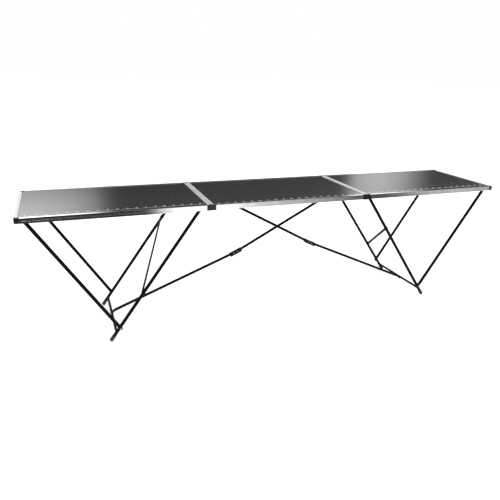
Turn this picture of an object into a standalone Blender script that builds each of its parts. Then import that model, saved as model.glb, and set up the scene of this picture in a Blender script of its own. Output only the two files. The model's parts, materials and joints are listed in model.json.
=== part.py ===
"""Wallpaper pasting table: three framed panels, two folding leg frames, struts and two knuckle braces.

The frame has +X along the table, -Y at the ruler edge and +Z up, with the origin on the floor
under the table's middle. Run with: blender --background --python part.py
"""
import math

import bmesh
import bpy
from mathutils import Matrix, Vector

# The whole table
TABLE_LENGTH = 3.0
TABLE_WIDTH = 0.6
TABLE_HEIGHT = 0.78
PANEL_COUNT = 3
FOLD_GAP = 0.0016
SEAT_GAP = 0.0003

# Aluminium channel rails and the boards that they hold
RAIL_DEPTH = 0.028
RAIL_WALL = 0.0016
RAIL_FLANGE = 0.017
RAIL_LIP = 0.012
BOARD_THICKNESS = 0.0045

# Corner caps at the outer ends
CAP_LENGTH = 0.026
CAP_DEPTH = 0.0275
CAP_RISE = 0.0006
CAP_ROUND = 0.006

# Hinge blocks at the folds
BLOCK_LENGTH = 0.025
BLOCK_DEPTH = 0.030
BLOCK_ROUND = 0.0012
BARREL_RADIUS = 0.0035
BARREL_RELIEF = 0.0004
BARREL_RISE = 0.001
HINGE_PIN_RADIUS = 0.0016
HINGE_PIN_CLEARANCE = 0.0002

# Two-pin link plates that carry the right panel over the folded left one
LINK_THICKNESS = 0.0022
LINK_MARGIN = 0.0045
LINK_PIN_RADIUS = 0.0019
LINK_PIN_CLEARANCE = 0.0002
LINK_PIN_DROP = 0.0035
LINK_PIN_LENGTH = 0.010
LINK_HEAD_RADIUS = 0.0034
LINK_HEAD_RISE = 0.0015
STACK_CLEARANCE = 0.002
ALONG_Y_SHARE = 0.5

# Leg frames
LEG_RADIUS = 0.008
LEG_WALL = 0.0012
LEG_RAIL_INSET = 0.036
LEG_PIVOT_INSET = 0.040
LEG_FOOT_SPREAD = 0.580
LEG_TOP_OVERHANG = 0.008
PIVOT_DEPTH = 0.018
JOINT_HEIGHT = 0.085
CROSSBAR_RADIUS = 0.006
CROSSBAR_BELOW_JOINT = 0.040
AXLE_RADIUS = 0.004
AXLE_CLEARANCE = 0.0003
FOOT_WALL = 0.0012
FOOT_SLEEVE = 0.030
STAY_WIDTH = 0.013
STAY_THICKNESS = 0.0025
LEFT_STAY_SHARES = (0.60, 0.10)
RIGHT_STAY_SHARES = (0.31, 0.61)

# Struts from the panel ends to the legs
STRUT_RADIUS = 0.0075
STRUT_WALL = 0.0012
STRUT_LEG_GAP = 0.0045
STRUT_PIVOT_INSET = 0.040
STRUT_OVERRUN = 0.010
STRUT_TOP_OVERHANG = 0.006
RIVET_RADIUS = 0.0025
RIVET_HEAD_RADIUS = 0.005
RIVET_HEAD_RISE = 0.0018
STUD_RADIUS = 0.006

# Knuckle braces between the middle panel and the leg crossbars
BRACKET_WIDTH = 0.024
BRACKET_WALL = 0.0025
BRACE_RADIUS = 0.007
BRACE_WALL = 0.001
BRACE_Y_SPACING = 0.060
BRACE_PIVOT_DROP = 0.045
KNUCKLE_PITCH = 0.026
KNUCKLE_END = 0.030
KNUCKLE_HEIGHT = 0.022
KNUCKLE_WALL = 0.0016
KNUCKLE_SIDE_GAP = 0.0006
KNUCKLE_ROOF_GAP = 0.0022
RIVET_TURN = 88.0
LINK_END_OVERHANG = 0.0052
BACK_BRACE_TOP_X = 0.468
BACK_BRACE_KNUCKLE_X = -0.243
BACK_BRACE_KNUCKLE_HEIGHT = 0.363
FRONT_BRACE_TOP_X = -0.345
FRONT_BRACE_KNUCKLE_X = 0.265
FRONT_BRACE_KNUCKLE_HEIGHT = 0.402
HOOK_THICKNESS = 0.006
HOOK_REACH = 0.028
HOOK_SPIGOT = 0.018
HOOK_COLLAR = 0.005
HOOK_FLARE = 0.012
HOOK_CLEARANCE = 0.0008
HOOK_TOP = 0.0055
HOOK_FLOOR = 0.005
HOOK_LIP_DROP = 0.0035
HOOK_LIP = 0.0045

OVERRUN = 0.004
ROUND_SIDES = 20
SMALL_SIDES = 16
ARC_STEPS = 6

HALF_LENGTH = TABLE_LENGTH / 2
PANEL_LENGTH = TABLE_LENGTH / PANEL_COUNT
FOLD_X = PANEL_LENGTH / 2
RAIL_OUTER_Y = TABLE_WIDTH / 2 - LINK_THICKNESS - LINK_HEAD_RISE - SEAT_GAP
RAIL_INNER_Y = RAIL_OUTER_Y - RAIL_FLANGE
BOARD_TOP = TABLE_HEIGHT - RAIL_WALL - SEAT_GAP
BOARD_UNDERSIDE = BOARD_TOP - BOARD_THICKNESS
PIVOT_HEIGHT = TABLE_HEIGHT - PIVOT_DEPTH
BARREL_HEIGHT = TABLE_HEIGHT + BARREL_RISE
LINK_PIN_HEIGHT = TABLE_HEIGHT - LINK_PIN_DROP
LEG_Y = RAIL_INNER_Y - LEG_RAIL_INSET
FOOT_RADIUS = LEG_RADIUS + SEAT_GAP + FOOT_WALL
KNUCKLE_LENGTH = KNUCKLE_PITCH + 2 * KNUCKLE_END
LINK_PITCH = 2 * BARREL_RISE + BLOCK_DEPTH + 2 * LINK_PIN_DROP + STACK_CLEARANCE
LEG_PIVOT_X = FOLD_X + LEG_PIVOT_INSET
LEG_FOOT_X = FOLD_X + LEG_FOOT_SPREAD
LEG_DROP = PIVOT_HEIGHT - FOOT_RADIUS
LEG_RUN = LEG_FOOT_X - LEG_PIVOT_X
LEG_LENGTH = math.hypot(LEG_RUN, LEG_DROP)
JOINT_SHARE = (PIVOT_HEIGHT - JOINT_HEIGHT) / LEG_DROP
CROSSBAR_SHARE = JOINT_SHARE + CROSSBAR_BELOW_JOINT / LEG_LENGTH
STRUT_PIVOT_X = HALF_LENGTH - STRUT_PIVOT_INSET
STRUT_Y = LEG_Y + LEG_RADIUS + STRUT_LEG_GAP + STRUT_RADIUS
BRACE_TOP_HEIGHT = TABLE_HEIGHT - BRACE_PIVOT_DROP
LEFT, RIGHT = -1, 1
FRONT, BACK = -1, 1
SIDE_NAMES = {FRONT: "front", BACK: "back"}
END_NAMES = {LEFT: "left", RIGHT: "right"}


def clear_scene():
    for old in list(bpy.data.objects):
        bpy.data.objects.remove(old, do_unlink=True)


def make_collection(name):
    collection = bpy.data.collections.new(name)
    bpy.context.scene.collection.children.link(collection)
    return collection


def make_material(name, color, roughness, metallic):
    material = bpy.data.materials.new(name)
    material.use_nodes = True
    shader = material.node_tree.nodes["Principled BSDF"]
    shader.inputs["Base Color"].default_value = (*color, 1)
    shader.inputs["Roughness"].default_value = roughness
    shader.inputs["Metallic"].default_value = metallic
    return material


def make_empty(name, location, parent=None):
    empty = bpy.data.objects.new(name, None)
    table.objects.link(empty)
    empty["world"] = location
    empty.location = location
    attach(empty, parent)
    return empty


def attach(piece, parent):
    """Parent a piece that was placed in world coordinates."""
    if parent is not None:
        piece.parent = parent
        piece.matrix_parent_inverse = Matrix.Translation(-Vector(parent["world"]))


def register(piece, name, material, parent, is_cutter=False):
    piece.name = name
    for user in list(piece.users_collection):
        user.objects.unlink(piece)
    (cutters if is_cutter else table).objects.link(piece)
    if is_cutter:
        piece.hide_render = True
        piece.display_type = "WIRE"
        return piece
    piece.data.materials.clear()
    piece.data.materials.append(material)
    attach(piece, parent)
    return piece


def apply_scale(piece):
    piece.data.transform(Matrix.Diagonal(piece.scale).to_4x4())
    piece.scale = (1, 1, 1)


def shade(piece):
    piece.data.shade_smooth()
    piece.data.set_sharp_from_angle(angle=math.radians(35))


def box(name, low, high, material=None, parent=None, rounding=0.0, is_cutter=False):
    """A box between two corners, with rounded edges if asked."""
    low, high = Vector(low), Vector(high)
    bpy.ops.mesh.primitive_cube_add(size=1, location=(low + high) / 2)
    piece = bpy.context.object
    piece.scale = high - low
    apply_scale(piece)
    if rounding:
        bevel = piece.modifiers.new("rounding", "BEVEL")
        bevel.width = rounding
        bevel.segments = 2
    return register(piece, name, material, parent, is_cutter)


def aim(piece, start, end):
    """Turn a piece whose length is its Z axis to run from start towards end."""
    direction = Vector(end) - Vector(start)
    piece.rotation_euler = direction.to_track_quat("Z", "Y").to_euler()


def rod(name, start, end, radius, material=None, parent=None, sides=ROUND_SIDES, is_cutter=False):
    """A solid cylinder between two points."""
    start, end = Vector(start), Vector(end)
    bpy.ops.mesh.primitive_cylinder_add(
        vertices=sides, radius=radius, depth=(end - start).length, location=(start + end) / 2
    )
    piece = bpy.context.object
    aim(piece, start, end)
    shade(piece)
    return register(piece, name, material, parent, is_cutter)


def tube(name, start, end, radius, wall, material, parent):
    """An open tube between two points: a bare cylinder wall with Solidify."""
    start, end = Vector(start), Vector(end)
    bpy.ops.mesh.primitive_cylinder_add(
        vertices=ROUND_SIDES,
        radius=radius,
        depth=(end - start).length,
        location=(start + end) / 2,
        end_fill_type="NOTHING",
    )
    piece = bpy.context.object
    aim(piece, start, end)
    shell = piece.modifiers.new("wall", "SOLIDIFY")
    shell.thickness = wall
    shell.offset = -1
    shell.use_even_offset = True
    shade(piece)
    return register(piece, name, material, parent)


def turned(name, profile, start, end, material, parent):
    """Revolve (radius, height) points about the line that leaves start towards end."""
    mesh = bpy.data.meshes.new(name)
    points = [(radius, 0, height) for radius, height in profile]
    edges = [(i, i + 1) for i in range(len(points) - 1)]
    mesh.from_pydata(points, edges, [])
    piece = bpy.data.objects.new(name, mesh)
    bpy.context.scene.collection.objects.link(piece)
    piece.location = start
    aim(piece, start, end)
    screw = piece.modifiers.new("turn", "SCREW")
    screw.steps = ROUND_SIDES
    screw.render_steps = ROUND_SIDES
    screw.use_merge_vertices = True
    screw.merge_threshold = 0.00001
    screw.use_smooth_shade = True
    return register(piece, name, material, parent)


def dome(radius, base, steps=ARC_STEPS):
    """Points of a half-round end below a height, from the wall down to the axis."""
    angles = [math.pi / 2 * i / steps for i in range(steps + 1)]
    return [(radius * math.cos(a) if a < math.pi / 2 else 0, base - radius * math.sin(a)) for a in angles]


def extrusion(name, outline, thickness, place, material=None, parent=None, is_cutter=False):
    """A flat outline given thickness, then made a mesh so that it can be cut or joined."""
    curve = bpy.data.curves.new(name, "CURVE")
    curve.dimensions = "2D"
    curve.fill_mode = "BOTH"
    curve.extrude = thickness / 2
    spline = curve.splines.new("POLY")
    spline.points.add(len(outline) - 1)
    for point, (across, up) in zip(spline.points, outline):
        point.co = (across, up, 0, 1)
    spline.use_cyclic_u = True
    guide = bpy.data.objects.new(name, curve)
    bpy.context.scene.collection.objects.link(guide)
    depsgraph = bpy.context.evaluated_depsgraph_get()
    mesh = bpy.data.meshes.new_from_object(guide.evaluated_get(depsgraph))
    bpy.data.objects.remove(guide, do_unlink=True)
    solid = bmesh.new()
    solid.from_mesh(mesh)
    bmesh.ops.remove_doubles(solid, verts=solid.verts, dist=0.00001)
    bmesh.ops.recalc_face_normals(solid, faces=solid.faces)
    solid.to_mesh(mesh)
    solid.free()
    piece = bpy.data.objects.new(name, mesh)
    bpy.context.scene.collection.objects.link(piece)
    piece.matrix_world = place
    return register(piece, name, material, parent, is_cutter)


def boolean(piece, tool, operation):
    modifier = piece.modifiers.new(f"{operation.lower()} {tool.name}", "BOOLEAN")
    modifier.operation = operation
    modifier.object = tool
    modifier.solver = "EXACT"


def axes_place(origin, across, up):
    """A matrix whose X and Y columns are the given directions."""
    across, up = Vector(across).normalized(), Vector(up).normalized()
    normal = across.cross(up)
    place = Matrix((across, up, normal)).transposed().to_4x4()
    place.translation = Vector(origin)
    return place


def channel_outline():
    """The rail's C section: web at zero, top flange and lower lip going inward."""
    return [
        (0, 0),
        (RAIL_FLANGE, 0),
        (RAIL_FLANGE, -RAIL_WALL),
        (RAIL_WALL, -RAIL_WALL),
        (RAIL_WALL, -(RAIL_DEPTH - RAIL_WALL)),
        (RAIL_LIP, -(RAIL_DEPTH - RAIL_WALL)),
        (RAIL_LIP, -RAIL_DEPTH),
        (0, -RAIL_DEPTH),
    ]


def long_rail(name, low_x, high_x, side, parent):
    origin = ((low_x + high_x) / 2, side * RAIL_OUTER_Y, TABLE_HEIGHT)
    place = axes_place(origin, (0, -side, 0), (0, 0, 1))
    return extrusion(name, channel_outline(), high_x - low_x, place, aluminium, parent)


def end_rail(name, outer_x, end, parent):
    place = axes_place((outer_x, 0, TABLE_HEIGHT), (-end, 0, 0), (0, 0, 1))
    length = 2 * (RAIL_INNER_Y - SEAT_GAP)
    return extrusion(name, channel_outline(), length, place, aluminium, parent)


def board(name, low_x, high_x, left_corner, right_corner, parent):
    """The laminated board, with its corners notched round the blocks and caps."""
    inset = RAIL_WALL + SEAT_GAP
    edge_y, notch_y = RAIL_OUTER_Y - inset, RAIL_INNER_Y - SEAT_GAP
    left, right = low_x + inset, high_x - inset
    left_notch = low_x + left_corner + SEAT_GAP
    right_notch = high_x - right_corner - SEAT_GAP
    half = [
        (right, -notch_y),
        (right, notch_y),
        (right_notch, notch_y),
        (right_notch, edge_y),
        (left_notch, edge_y),
        (left_notch, notch_y),
        (left, notch_y),
        (left, -notch_y),
        (left_notch, -notch_y),
        (left_notch, -edge_y),
        (right_notch, -edge_y),
        (right_notch, -notch_y),
    ]
    place = Matrix.Translation((0, 0, BOARD_TOP - BOARD_THICKNESS / 2))
    piece = extrusion(name, half, BOARD_THICKNESS, place, laminate, parent)
    field_low, field_high = low_x + RAIL_FLANGE + SEAT_GAP, high_x - RAIL_FLANGE - SEAT_GAP
    split_open_field(piece, field_low, field_high, notch_y)
    return piece


def split_open_field(piece, low_x, high_x, edge_y):
    """Split the board's faces where the rails' flanges end, so that the open field is a face of its own."""
    mesh = bmesh.new()
    mesh.from_mesh(piece.data)
    bmesh.ops.dissolve_limit(mesh, angle_limit=math.radians(1), verts=mesh.verts, edges=mesh.edges)
    cuts = [((low_x, 0, 0), (1, 0, 0)), ((high_x, 0, 0), (1, 0, 0))]
    cuts += [((0, side * edge_y, 0), (0, 1, 0)) for side in (FRONT, BACK)]
    for point, normal in cuts:
        everything = mesh.verts[:] + mesh.edges[:] + mesh.faces[:]
        bmesh.ops.bisect_plane(mesh, geom=everything, dist=0.00001, plane_co=point, plane_no=normal)
    mesh.to_mesh(piece.data)
    mesh.free()


def corner_cap(name, end, side, parent):
    """The black end cap: a block whose outer upright corner is rounded."""
    length, width, turn = CAP_LENGTH, RAIL_FLANGE, CAP_ROUND
    arc = [math.pi / 2 * i / ARC_STEPS for i in range(ARC_STEPS + 1)]
    outline = [(0, 0), (0, width)]
    outline += [(length - turn + turn * math.sin(a), width - turn + turn * math.cos(a)) for a in arc]
    outline += [(length, 0)]
    thickness = CAP_DEPTH + CAP_RISE
    origin = (end * (HALF_LENGTH - length), side * RAIL_INNER_Y, TABLE_HEIGHT + CAP_RISE - thickness / 2)
    place = axes_place(origin, (end, 0, 0), (0, side, 0))
    return extrusion(name, outline, thickness, place, plastic, parent)


def hinge_block(name, fold_x, end, side, parent):
    """The end block of a rail, before its hinge is cut; end points from the fold into the panel."""
    face = fold_x + end * FOLD_GAP / 2
    inner = face + end * BLOCK_LENGTH
    low = (min(face, inner), min(side * RAIL_INNER_Y, side * RAIL_OUTER_Y), TABLE_HEIGHT - BLOCK_DEPTH)
    high = (max(face, inner), max(side * RAIL_INNER_Y, side * RAIL_OUTER_Y), TABLE_HEIGHT)
    return box(name, low, high, plastic, parent, rounding=BLOCK_ROUND)


def knuckle_spans(side):
    """The three lengths along Y that the barrel is shared out in, two outer and one inner."""
    third = RAIL_FLANGE / 3
    edges = [side * (RAIL_INNER_Y + third * i) for i in range(4)]
    gap = SEAT_GAP / 2 * side
    spans = [(edges[i] + gap, edges[i + 1] - gap) for i in range(3)]
    return {"outer": [spans[0], spans[2]], "inner": [spans[1]]}


def barrel_rod(name, span, radius, parent=None, material=None, is_cutter=True):
    start = (-FOLD_X, span[0], BARREL_HEIGHT)
    end = (-FOLD_X, span[1], BARREL_HEIGHT)
    return rod(name, start, end, radius, material, parent, SMALL_SIDES, is_cutter)


def fit_left_hinge(panel_block, middle_block, side):
    """Barrel hinge on the top edge: outer knuckles on the panel, inner knuckle and pin in the middle."""
    spans = knuckle_spans(side)
    overrun = SEAT_GAP * side
    tag = SIDE_NAMES[side]
    shares = ((panel_block, "outer", "inner"), (middle_block, "inner", "outer"))
    for block, own, other in shares:
        for i, span in enumerate(spans[other]):
            relief_span = (span[0] - overrun, span[1] + overrun)
            relief_radius = BARREL_RADIUS + BARREL_RELIEF
            relief = barrel_rod(f"relief {own} {tag} {i}", relief_span, relief_radius)
            boolean(block, relief, "DIFFERENCE")
        for i, span in enumerate(spans[own]):
            barrel = barrel_rod(f"barrel {own} {tag} {i}", span, BARREL_RADIUS)
            boolean(block, barrel, "UNION")
    low_y, high_y = side * RAIL_INNER_Y, side * RAIL_OUTER_Y
    bore_span = (low_y - OVERRUN * side, high_y + OVERRUN * side)
    bore = barrel_rod(f"pin bore {tag}", bore_span, HINGE_PIN_RADIUS + HINGE_PIN_CLEARANCE)
    boolean(panel_block, bore, "DIFFERENCE")
    pin = barrel_rod(f"pin {tag}", (low_y, high_y), HINGE_PIN_RADIUS)
    boolean(middle_block, pin, "UNION")


def drill_link_hole(block, end, side):
    x = FOLD_X + end * LINK_PITCH / 2
    start = (x, side * (RAIL_OUTER_Y + OVERRUN), LINK_PIN_HEIGHT)
    stop = (x, side * (RAIL_OUTER_Y - LINK_PIN_LENGTH - SEAT_GAP), LINK_PIN_HEIGHT)
    radius = LINK_PIN_RADIUS + LINK_PIN_CLEARANCE
    hole = rod(f"link hole {end} {side}", start, stop, radius, sides=SMALL_SIDES, is_cutter=True)
    boolean(block, hole, "DIFFERENCE")


def link_plate(name, side, parent):
    """A plate with two pins: one in the middle panel's block, one in the right panel's."""
    half = LINK_PITCH / 2 + LINK_MARGIN
    low_z = TABLE_HEIGHT - BLOCK_DEPTH
    near, far = side * (RAIL_OUTER_Y + SEAT_GAP), side * (RAIL_OUTER_Y + SEAT_GAP + LINK_THICKNESS)
    low = (FOLD_X - half, min(near, far), low_z)
    high = (FOLD_X + half, max(near, far), TABLE_HEIGHT)
    plate = box(name, low, high, plastic, parent)
    round_plate_corners(plate)
    for end in (LEFT, RIGHT):
        x = FOLD_X + end * LINK_PITCH / 2
        tip = (x, side * (RAIL_OUTER_Y - LINK_PIN_LENGTH), LINK_PIN_HEIGHT)
        pin = rod(f"link pin {end} {side}", tip, (x, (near + far) / 2, LINK_PIN_HEIGHT), LINK_PIN_RADIUS,
                  sides=SMALL_SIDES, is_cutter=True)
        boolean(plate, pin, "UNION")
        crown = (x, side * (TABLE_WIDTH / 2), LINK_PIN_HEIGHT)
        head = rod(f"link head {end} {side}", (x, (near + far) / 2, LINK_PIN_HEIGHT), crown,
                   LINK_HEAD_RADIUS, sides=SMALL_SIDES, is_cutter=True)
        boolean(plate, head, "UNION")
    return plate


def round_plate_corners(plate):
    """Round only the plate's edges that run through its thickness."""
    mesh = bmesh.new()
    mesh.from_mesh(plate.data)
    directions = {e: (e.verts[0].co - e.verts[1].co).normalized() for e in mesh.edges}
    through = [e for e, direction in directions.items() if abs(direction.y) > ALONG_Y_SHARE]
    bmesh.ops.bevel(mesh, geom=through, offset=LINK_MARGIN / 2, segments=3, profile=0.5, affect="EDGES")
    mesh.to_mesh(plate.data)
    mesh.free()


def leg_point(end, side, share):
    """A point on a leg's centreline, share 0 at the pivot and 1 at the foot."""
    x = end * (LEG_PIVOT_X + LEG_RUN * share)
    return Vector((x, side * LEG_Y, PIVOT_HEIGHT - LEG_DROP * share))


def leg(name, end, side, parent):
    top = leg_point(end, side, -LEG_TOP_OVERHANG / LEG_LENGTH)
    piece = tube(name, top, leg_point(end, side, 1), LEG_RADIUS, LEG_WALL, black_steel, parent)
    pivot = leg_point(end, side, 0)
    reach = Vector((0, LEG_RADIUS + OVERRUN, 0))
    bore = rod(f"axle bore {name}", pivot - reach, pivot + reach, AXLE_RADIUS + AXLE_CLEARANCE,
               sides=SMALL_SIDES, is_cutter=True)
    boolean(piece, bore, "DIFFERENCE")
    return piece


def foot(name, end, side, parent):
    """The rubber foot: a sleeve over the leg's end with a half-round tread."""
    inner = LEG_RADIUS + SEAT_GAP
    profile = [(0, -SEAT_GAP), (inner, -SEAT_GAP), (inner, FOOT_SLEEVE), (FOOT_RADIUS, FOOT_SLEEVE)]
    profile += dome(FOOT_RADIUS, 0)
    centre = leg_point(end, side, 1)
    return turned(name, profile, centre, leg_point(end, side, 0), rubber, parent)


def crossbar(name, end, parent):
    reach = LEG_Y - LEG_RADIUS - SEAT_GAP
    centre = leg_point(end, 0, CROSSBAR_SHARE)
    start = Vector((centre.x, -reach, centre.z))
    stop = Vector((centre.x, reach, centre.z))
    return tube(name, start, stop, CROSSBAR_RADIUS, LEG_WALL, black_steel, parent)


def stay(name, end, shares, parent):
    """A flat strap across the leg frame, lying on the side of the legs that faces the panel."""
    front, back = leg_point(end, FRONT, shares[0]), leg_point(end, BACK, shares[1])
    down = (leg_point(end, FRONT, 1) - leg_point(end, FRONT, 0)).normalized()
    outward = Vector((end * LEG_DROP, 0, LEG_RUN)).normalized()
    run = (back - front).length
    half = STAY_WIDTH / 2
    turn = [math.pi * i / ARC_STEPS for i in range(ARC_STEPS + 1)]
    outline = [(run + half * math.sin(a), half * math.cos(a)) for a in turn]
    outline += [(-half * math.sin(a), -half * math.cos(a)) for a in turn]
    along = (back - front).normalized()
    origin = front + outward * (LEG_RADIUS + SEAT_GAP + STAY_THICKNESS / 2)
    place = axes_place(origin, along, outward.cross(along) * math.copysign(1, down.z))
    return extrusion(name, outline, STAY_THICKNESS, place, grey_steel, parent)


def axle(name, end, parent):
    """The steel rod from rail to rail that both legs of a frame turn on."""
    reach = RAIL_OUTER_Y - RAIL_WALL - SEAT_GAP
    start = (end * LEG_PIVOT_X, -reach, PIVOT_HEIGHT)
    stop = (end * LEG_PIVOT_X, reach, PIVOT_HEIGHT)
    return rod(name, start, stop, AXLE_RADIUS, grey_steel, parent, SMALL_SIDES)


def strut_point(end, side, share):
    """A point on a strut's centreline, share 0 at its pivot and 1 at the joint with the leg."""
    pivot = Vector((end * STRUT_PIVOT_X, side * STRUT_Y, PIVOT_HEIGHT))
    joint = leg_point(end, 0, JOINT_SHARE)
    return pivot.lerp(Vector((joint.x, side * STRUT_Y, joint.z)), share)


def strut_length():
    return (strut_point(RIGHT, BACK, 1) - strut_point(RIGHT, BACK, 0)).length


def strut(name, end, side, parent):
    """A tube with a closed round lower end, drilled for its pivot and carrying the leg rivet."""
    joint = strut_point(end, side, 1)
    pivot = strut_point(end, side, 0)
    top = strut_length() + STRUT_TOP_OVERHANG
    low, inner = -(STRUT_OVERRUN - STRUT_RADIUS), STRUT_RADIUS - STRUT_WALL
    profile = [(0, low), (inner, low), (inner, top), (STRUT_RADIUS, top)]
    profile += dome(STRUT_RADIUS, low)
    piece = turned(name, profile, joint, pivot, black_steel, parent)
    reach = Vector((0, STRUT_RADIUS + OVERRUN, 0))
    bore = rod(f"pivot bore {name}", pivot - reach, pivot + reach, AXLE_RADIUS + AXLE_CLEARANCE,
               sides=SMALL_SIDES, is_cutter=True)
    boolean(piece, bore, "DIFFERENCE")
    inner_y = side * (LEG_Y + LEG_RADIUS + SEAT_GAP)
    outer_y = side * (STRUT_Y + STRUT_RADIUS)
    shank = rod(f"rivet {name}", (joint.x, inner_y, joint.z), (joint.x, outer_y, joint.z), RIVET_RADIUS,
                sides=SMALL_SIDES, is_cutter=True)
    boolean(piece, shank, "UNION")
    head_y = side * (STRUT_Y + STRUT_RADIUS + RIVET_HEAD_RISE)
    seat_y = side * (STRUT_Y + STRUT_RADIUS - RIVET_HEAD_RISE)
    head = rod(f"rivet head {name}", (joint.x, seat_y, joint.z), (joint.x, head_y, joint.z),
               RIVET_HEAD_RADIUS, sides=SMALL_SIDES, is_cutter=True)
    boolean(piece, head, "UNION")
    return piece


def fit_strut_stud(rail, end, side):
    """The shouldered stud inside a rail's web that a strut's upper end turns on."""
    x, z = end * STRUT_PIVOT_X, PIVOT_HEIGHT
    tag = f"{END_NAMES[end]} {SIDE_NAMES[side]}"
    web = side * (RAIL_OUTER_Y - RAIL_WALL / 2)
    shoulder = side * (STRUT_Y + STRUT_RADIUS + SEAT_GAP)
    tip = side * (STRUT_Y - STRUT_RADIUS + STRUT_WALL)
    for part, stop, radius in (("spacer", shoulder, STUD_RADIUS), ("pin", tip, AXLE_RADIUS)):
        stud = rod(f"strut {part} {tag}", (x, stop, z), (x, web, z), radius,
                   sides=SMALL_SIDES, is_cutter=True)
        boolean(rail, stud, "UNION")


def brace_layout(top_x, knuckle_x, knuckle_height, end, y):
    """The brace's points: upper pivot, two knuckle rivets and the crossbar that it hooks under."""
    pivot = Vector((top_x, y, BRACE_TOP_HEIGHT))
    knuckle = Vector((knuckle_x, y, knuckle_height))
    bar = leg_point(end, 0, CROSSBAR_SHARE)
    bar.y = y
    along = (bar - pivot).normalized()
    return {
        "pivot": pivot,
        "upper_rivet": knuckle - along * KNUCKLE_PITCH / 2,
        "lower_rivet": knuckle + along * KNUCKLE_PITCH / 2,
        "bar": bar,
        "knuckle": knuckle,
        "along": along,
    }


def drill_across(piece, name, centre, radius, half_width):
    reach = Vector((0, half_width + OVERRUN, 0))
    bore = rod(name, centre - reach, centre + reach, radius, sides=SMALL_SIDES, is_cutter=True)
    boolean(piece, bore, "DIFFERENCE")


def brace_upper(name, layout, parent):
    pivot, rivet = layout["pivot"], layout["upper_rivet"]
    along = (rivet - pivot).normalized()
    overhang = along * LINK_END_OVERHANG
    piece = tube(name, pivot - overhang, rivet + overhang, BRACE_RADIUS, BRACE_WALL, black_steel, parent)
    radius = RIVET_RADIUS + AXLE_CLEARANCE
    drill_across(piece, f"pivot bore {name}", pivot, radius, BRACE_RADIUS)
    drill_across(piece, f"rivet bore {name}", rivet, radius, BRACE_RADIUS)
    return piece


def hook_outline():
    """The flat hook past the brace's lower end, cradling the leg crossbar from below."""
    radius = CROSSBAR_RADIUS + HOOK_CLEARANCE
    lip_angle = -math.asin(HOOK_LIP_DROP / radius)
    angles = [-math.pi + (math.pi + lip_angle) * i / (2 * ARC_STEPS) for i in range(2 * ARC_STEPS + 1)]
    floor = -(radius + HOOK_FLOOR)
    root, neck = HOOK_COLLAR / 2 - HOOK_REACH, BRACE_WALL - BRACE_RADIUS
    outline = [(root, neck), (root, HOOK_TOP), (-radius, HOOK_TOP)]
    outline += [(radius * math.cos(a), radius * math.sin(a)) for a in angles]
    outline += [
        (radius + HOOK_LIP, -HOOK_LIP_DROP),
        (radius + HOOK_LIP, -radius),
        (radius / 2, floor),
        (-radius, floor),
        (-radius - HOOK_FLARE, neck),
    ]
    return outline


def lower_link_line(layout):
    """The lower link's direction, and where its tube ends short of the crossbar."""
    along = (layout["bar"] - layout["lower_rivet"]).normalized()
    return along, layout["bar"] - along * HOOK_REACH


def brace_lower(name, layout, parent):
    along, stop = lower_link_line(layout)
    rivet = layout["lower_rivet"]
    start = rivet - along * LINK_END_OVERHANG
    piece = tube(name, start, stop, BRACE_RADIUS, BRACE_WALL, black_steel, parent)
    drill_across(piece, f"rivet bore {name}", rivet, RIVET_RADIUS + AXLE_CLEARANCE, BRACE_RADIUS)
    return piece


def brace_hook(name, layout, parent):
    """The moulded hook: a flat cradle, a collar as wide as the tube and a spigot inside it."""
    along, stop = lower_link_line(layout)
    up = Vector((-along.z, 0, along.x))
    if up.z < 0:
        up = -up
    place = axes_place(layout["bar"], along, up)
    piece = extrusion(name, hook_outline(), HOOK_THICKNESS, place, plastic, parent)
    collar_start, collar_stop = stop + along * SEAT_GAP, stop + along * HOOK_COLLAR
    collar = rod(f"collar {name}", collar_start, collar_stop, BRACE_RADIUS, is_cutter=True)
    boolean(piece, collar, "UNION")
    spigot_radius = BRACE_RADIUS - BRACE_WALL - SEAT_GAP
    spigot_start = stop - along * HOOK_SPIGOT
    spigot = rod(f"spigot {name}", spigot_start, collar_stop, spigot_radius, is_cutter=True)
    boolean(piece, spigot, "UNION")
    return piece


def knuckle_clip(name, layout, parent):
    """The channel that both links are riveted in: back on top, open below."""
    along = layout["along"]
    up = Vector((-along.z, 0, along.x))
    if up.z < 0:
        up = -up
    inner = BRACE_RADIUS + KNUCKLE_SIDE_GAP
    outer = inner + KNUCKLE_WALL
    roof = BRACE_RADIUS + KNUCKLE_ROOF_GAP
    low = roof + KNUCKLE_WALL - KNUCKLE_HEIGHT
    outline = [
        (-outer, low),
        (-inner, low),
        (-inner, roof),
        (inner, roof),
        (inner, low),
        (outer, low),
        (outer, roof + KNUCKLE_WALL),
        (-outer, roof + KNUCKLE_WALL),
    ]
    place = axes_place(layout["knuckle"], (0, 1, 0), up)
    piece = extrusion(name, outline, KNUCKLE_LENGTH, place, plastic, parent)
    for key in ("upper_rivet", "lower_rivet"):
        reach = Vector((0, outer + RIVET_HEAD_RISE, 0))
        centre = layout[key]
        shank = rod(f"{key} {name}", centre - reach, centre + reach, RIVET_RADIUS,
                    sides=SMALL_SIDES, is_cutter=True)
        boolean(piece, shank, "UNION")
        for side in (FRONT, BACK):
            seat = centre + Vector((0, side * (outer - KNUCKLE_WALL / 2), 0))
            crown = centre + Vector((0, side * (outer + RIVET_HEAD_RISE), 0))
            head = rod(f"{key} head {name} {side}", seat, crown, RIVET_HEAD_RADIUS,
                       sides=SMALL_SIDES, is_cutter=True)
            boolean(piece, head, "UNION")
    return piece


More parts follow.
